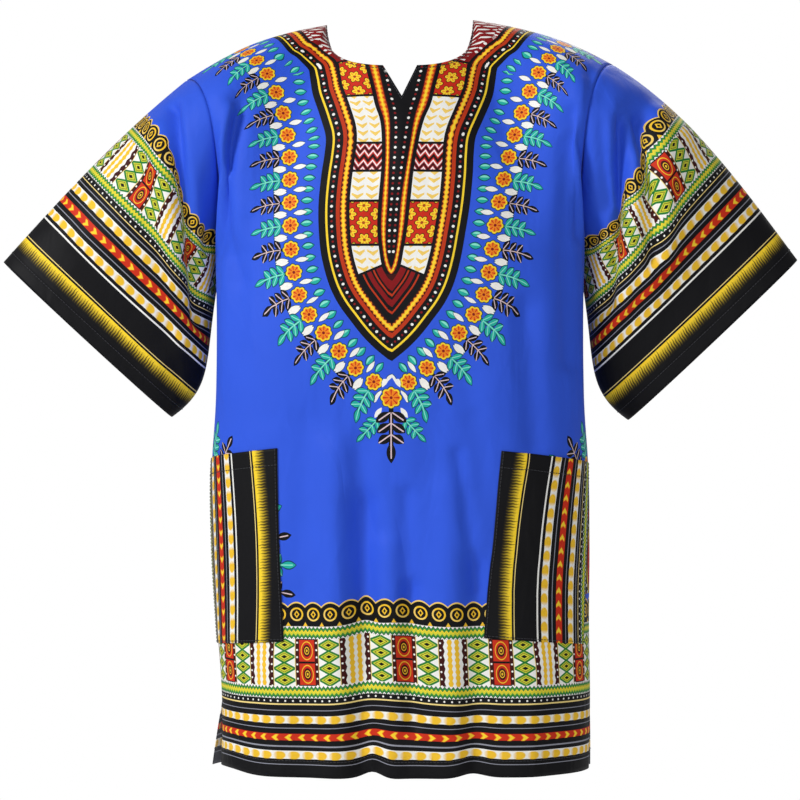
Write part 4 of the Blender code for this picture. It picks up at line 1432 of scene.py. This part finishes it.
def cloth_piece(name, walls, materials, maps, closed=False, girth=None):
    """A closed shell of the two walls, with its faces outward, its maps and its materials."""
    outer, inner = walls
    rows, columns = outer.shape[:2]
    points = np.concatenate([outer.reshape(-1, 3), inner.reshape(-1, 3)])
    faces = outward(points, shell_faces(rows, columns, closed))
    piece = new_piece(name, points, faces, materials)
    add_maps(piece, maps, girth)
    return piece


# Seams: threads along lines that run at a set distance from the cloth's edges
STITCH_LENGTH, STITCH_PITCH = 0.0027, 0.0035
STITCH_ENDS = ((-0.5, -0.00015), (-0.3, 0.00035), (0.3, 0.00035), (0.5, -0.00015))
THREAD_HALF_WIDTH, THREAD_HALF_DEPTH = 0.0003, 0.0002
CUFF_STITCH, HEM_STITCH, NECK_STITCH = 0.013, 0.016, 0.0035
POCKET_TOP_STITCH, POCKET_EDGE_STITCH = 0.016, 0.0022
THREAD_INK = Ink(44, 45, 52)
FIBRES_PER_METRE, FIBRE_DARK = 900.0, 0.5
NECK_STITCH_ROWS = 20


def level_line(walls, level):
    """Where the cloth's columns are a set length from its first row: points and outward directions."""
    outer, inner = walls
    lengths = run_lengths(outer)
    row = np.maximum(np.argmax(lengths >= level, axis=0), 1)
    place = np.arange(outer.shape[1])
    low, high = lengths[row - 1, place], lengths[row, place]
    share = ((level - low) / (high - low))[:, None]
    line, under = (wall[row - 1, place] * (1.0 - share) + wall[row, place] * share for wall in (outer, inner))
    return line, unit(line - under)


def stitch_row(line, outward_ways):
    """The corners of a row's threads: each is four small rings of four points, its ends sunk in the cloth."""
    length = run_lengths(line)[-1]
    count = int(length / STITCH_PITCH)
    middle = (np.arange(count) + 0.5) / count
    half = STITCH_LENGTH / 2 / length
    start, stop = along(line, middle - half), along(line, middle + half)
    centre = (start + stop) / 2
    way = unit(stop - start)
    shares = run_lengths(line) / length
    up = unit(np.stack([np.interp(middle, shares, outward_ways[:, axis]) for axis in range(3)], axis=-1))
    side = np.cross(way, up)
    corners = np.array([(-1, -1), (1, -1), (1, 1), (-1, 1)])
    rings = []
    for share, height in STITCH_ENDS:
        ring = centre + way * share * STITCH_LENGTH + up * height
        spread = corners[None, :, :1] * side[:, None] * THREAD_HALF_WIDTH
        rings.append(ring[:, None] + spread + corners[None, :, 1:] * up[:, None] * THREAD_HALF_DEPTH)
    return np.stack(rings, axis=1).reshape(-1, 3)


def stitches(name, lines, thread):
    """One piece of all the threads along the lines."""
    points = np.concatenate([stitch_row(*line) for line in lines])
    ring, corner = np.meshgrid(np.arange(3) * 4, np.arange(4), indexing="ij")
    ring, corner = ring.ravel(), corner.ravel()
    beside = (corner + 1) % 4
    bar = np.stack([ring + corner, ring + beside, ring + 4 + beside, ring + 4 + corner], axis=1)
    bar = np.concatenate([bar, [[3, 2, 1, 0], [12, 13, 14, 15]]])
    faces = (np.arange(len(points) // 16)[:, None, None] * 16 + bar).reshape(-1, 4)
    piece = new_piece(name, points, outward(points, faces), [thread])
    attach(piece, "root")
    return piece


def across_grid(walls, rows=np.s_[:], columns=np.s_[:], flip=False, turn=False):
    """The walls cut to some rows and columns, upside down or turned so that columns become rows."""
    cut = [wall[rows, columns] for wall in walls]
    cut = [wall.swapaxes(0, 1) for wall in cut] if turn else cut
    return [wall[::-1] for wall in cut] if flip else cut


def panel_seams(walls):
    """Threads above the hem and along the neckline."""
    cells = walls[0].shape[1] - 1
    neck = np.s_[SHOULDER_CELLS : cells + 1 - SHOULDER_CELLS]
    return [
        level_line(across_grid(walls, flip=True), HEM_STITCH),
        level_line(across_grid(walls, rows=np.s_[:NECK_STITCH_ROWS], columns=neck), NECK_STITCH),
    ]


def sleeve_seam(walls):
    closed = [np.concatenate([wall, wall[:, :1]], axis=1) for wall in walls]
    return level_line(across_grid(closed, flip=True), CUFF_STITCH)


def pocket_seams(walls):
    """Threads under the pocket's top hem and along its other three edges."""
    return [
        level_line(walls, POCKET_TOP_STITCH),
        level_line(across_grid(walls, flip=True), POCKET_EDGE_STITCH),
        level_line(across_grid(walls, turn=True), POCKET_EDGE_STITCH),
        level_line(across_grid(walls, turn=True, flip=True), POCKET_EDGE_STITCH),
    ]


def thread_finish():
    """Dark thread, flecked along its fibres."""
    sheet = Sheet(bpy.data.materials.new("thread"))
    fibre = sheet.noise(sheet.object_place(), FIBRES_PER_METRE, 1.0)
    colour = sheet.mix(fibre * FIBRE_DARK, THREAD_INK, BLACK)
    return sheet.finished({"Base Color": colour, "Roughness": 0.5})


class ShirtSizes(bpy.types.PropertyGroup):
    cloth: FloatProperty(
        name="Cloth", description="Thickness of the cotton", default=0.0009, min=0.0003, max=0.002,
        unit="LENGTH", subtype="DISTANCE", precision=4,
    )
    floor_z: FloatProperty(
        name="Floor height", description="Height of the studio floor below the shoulders", default=-1.3,
        unit="LENGTH", subtype="DISTANCE",
    )
    camera_distance: FloatProperty(
        name="Camera distance", description="From the camera to the middle of the shirt", default=3.2,
        min=1.0, unit="LENGTH", subtype="DISTANCE",
    )


class ShirtColours(bpy.types.PropertyGroup):
    ground: FloatVectorProperty(
        name="Ground", description="Royal blue of the cotton", default=(0.030, 0.104, 0.74),
        min=0.0, max=1.0, subtype="COLOR",
    )


class DASHIKI_OT_body(bpy.types.Operator):
    """Build the front and the back as thin shells of printed cotton"""

    bl_idname = "dashiki.body"
    bl_label = "Front and Back"

    def execute(self, context):
        cloth = context.scene.dashiki_sizes.cloth
        ground = (*context.scene.dashiki_colours.ground, 1.0)
        thread = thread_finish()
        cloths = [
            cloth_finish("cotton_plain", plain_ground, "print", ground),
            cloth_finish("cotton_yoke", yoke_print, "print", ground),
            cloth_finish("cotton_wreath", wreath_print, "print", ground),
            cloth_finish("cotton_tip", wreath_print, "print", ground, with_tip=True),
            cloth_finish("cotton_medallion", medallion_print, "print", ground),
            cloth_finish(
                "cotton_hem", border_print, "print", ground, seam=("hem", HEM_STITCH), border=HEM_BORDER
            ),
        ]
        flats = {"front": (0.52, 0.80, 0.355), "back": (0.50, 0.80, 0.34)}
        for face, (width, length, area) in flats.items():
            maps = panel_print(face)
            walls = panel_walls(face, cloth)
            piece = cloth_piece(f"cloth_{face}", walls, cloths, maps)
            choose(piece, panel_regions(piece, maps))
            seam = stitches(f"stitches_{face}", panel_seams(walls), thread)
            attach(piece, "root")
            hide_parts(face)
        return {"FINISHED"}


class DASHIKI_OT_sleeves(bpy.types.Operator):
    """Build both sleeves as thin tubes of printed cotton"""

    bl_idname = "dashiki.sleeves"
    bl_label = "Sleeves"

    def execute(self, context):
        cloth = context.scene.dashiki_sizes.cloth
        ground = (*context.scene.dashiki_colours.ground, 1.0)
        thread = thread_finish()
        cloths = [
            cloth_finish("cotton_sleeve", plain_ground, "cuff", ground),
            cloth_finish(
                "cotton_cuff", border_print, "cuff", ground, seam=("cuff", CUFF_STITCH), border=CUFF_BORDER
            ),
        ]
        for side in SLEEVES:
            name = f"sleeve_{side}"
            maps, girth = sleeve_print(side)
            walls = sleeve_walls(side, cloth)
            piece = cloth_piece(f"cloth_{name}", walls, cloths, maps, closed=True, girth=girth)
            choose(piece, {1: over_faces(piece, maps["cuff"][..., 1])[0] < CUFF_TOP})
            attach(piece, "root")
            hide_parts(name)
            seam = stitches(f"stitches_{name}", [sleeve_seam(walls)], thread)
        return {"FINISHED"}


class DASHIKI_OT_pockets(bpy.types.Operator):
    """Build the two patch pockets on the front"""

    bl_idname = "dashiki.pockets"
    bl_label = "Pockets"

    def execute(self, context):
        cloth = context.scene.dashiki_sizes.cloth
        thread = thread_finish()
        cloths = [cloth_finish("cotton_pocket", pocket_stripes, "stripe", BLACK)]
        for side in POCKETS:
            name = f"pocket_{side}"
            walls = pocket_walls(side, cloth, cloth)
            piece = cloth_piece(f"cloth_{name}", walls, cloths, pocket_print(side, cloth))
            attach(piece, "root")
            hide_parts(name)
            seam = stitches(f"stitches_{name}", pocket_seams(walls), thread)
        return {"FINISHED"}

# Studio
CAMERA_Z = -0.378
LENS_MM = 144.0
SENSOR_MM = 36.0
FLOOR_RADIUS, FLOOR_SIDES = 2.5, 96
FLOOR_WHITE, AIR_WHITE = (0.85, 0.85, 0.85, 1.0), (1.0, 1.0, 1.0, 1.0)
AIR_STRENGTH = 0.30
Light = namedtuple("Light", "name x y z size power")
LIGHTS = (
    Light("key", -2.5, -1.9, 1.3, 1.0, 84.0),
    Light("fill", 0.8, -3.2, 0.3, 2.0, 24.0),
    Light("rim", 0.6, 2.2, 1.4, 1.6, 34.0),
)
LIGHTS_AIM = (0.0, 0.0, -0.38)


def floor_piece(z):
    """A flat disc, one polygon of many sides."""
    turn = np.linspace(0.0, 2 * pi, FLOOR_SIDES + 1)[:-1]
    points = np.stack([FLOOR_RADIUS * np.cos(turn), FLOOR_RADIUS * np.sin(turn), 0 * turn + z], axis=1)
    paper = Sheet(bpy.data.materials.new("floor_paper"))
    paper = paper.finished({"Base Color": FLOOR_WHITE, "Roughness": 0.8})
    new_piece("floor", points, np.arange(FLOOR_SIDES)[None], [paper])


def area_light(light):
    lamp = bpy.data.lights.new(light.name, "AREA")
    lamp.shape = "DISK"
    lamp.size = light.size
    lamp.energy = light.power
    stand = bpy.data.objects.new(light.name, lamp)
    stand.location = (light.x, light.y, light.z)
    way = Vector(LIGHTS_AIM) - stand.location
    stand.rotation_euler = way.to_track_quat("-Z", "Y").to_euler()
    bpy.context.scene.collection.objects.link(stand)


class DASHIKI_OT_studio(bpy.types.Operator):
    """Lay the floor, hang the lights and place the camera"""

    bl_idname = "dashiki.studio"
    bl_label = "Studio"

    def execute(self, context):
        sizes = context.scene.dashiki_sizes
        floor_piece(sizes.floor_z)
        for light in LIGHTS:
            area_light(light)
        air = Sheet(bpy.data.worlds.new("studio_air"), last="Background")
        seen = air.node("ShaderNodeLightPath", output="Is Camera Ray")
        strengths = {"Factor": seen, "A": AIR_STRENGTH, "B": 1.0}
        strength = air.node("ShaderNodeMix", {"data_type": "FLOAT"}, strengths)
        context.scene.world = air.finished({"Color": AIR_WHITE, "Strength": strength})
        camera = bpy.data.cameras.new("camera")
        camera.lens = LENS_MM
        camera.sensor_width = SENSOR_MM
        stand = bpy.data.objects.new("camera", camera)
        stand.location = (0.0, -sizes.camera_distance, CAMERA_Z)
        stand.rotation_euler = (pi / 2, 0.0, 0.0)
        context.scene.collection.objects.link(stand)
        context.scene.camera = stand
        context.scene.view_settings.view_transform = "Standard"
        return {"FINISHED"}


class DASHIKI_PT_panel(bpy.types.Panel):
    """Sizes, colours and steps of the dashiki shirt"""

    bl_label = "Dashiki Shirt"
    bl_idname = "DASHIKI_PT_panel"
    bl_space_type = "VIEW_3D"
    bl_region_type = "UI"
    bl_category = "Dashiki"

    def draw(self, context):
        for group in (context.scene.dashiki_sizes, context.scene.dashiki_colours):
            for name in group.__annotations__:
                self.layout.prop(group, name)
        for step in STEPS:
            self.layout.operator(step.bl_idname)


STEPS = (DASHIKI_OT_body, DASHIKI_OT_sleeves, DASHIKI_OT_pockets, DASHIKI_OT_studio)
CLASSES = (ShirtSizes, ShirtColours, *STEPS, DASHIKI_PT_panel)


def register():
    for one in CLASSES:
        bpy.utils.register_class(one)
    bpy.types.Scene.dashiki_sizes = PointerProperty(type=ShirtSizes)
    bpy.types.Scene.dashiki_colours = PointerProperty(type=ShirtColours)


def unregister():
    del bpy.types.Scene.dashiki_colours
    del bpy.types.Scene.dashiki_sizes
    for one in reversed(CLASSES):
        bpy.utils.unregister_class(one)


def main():
    register()
    bpy.ops.dashiki.body()
    bpy.ops.dashiki.sleeves()
    bpy.ops.dashiki.pockets()
    bpy.ops.dashiki.studio()


if __name__ == "__main__":
    main()
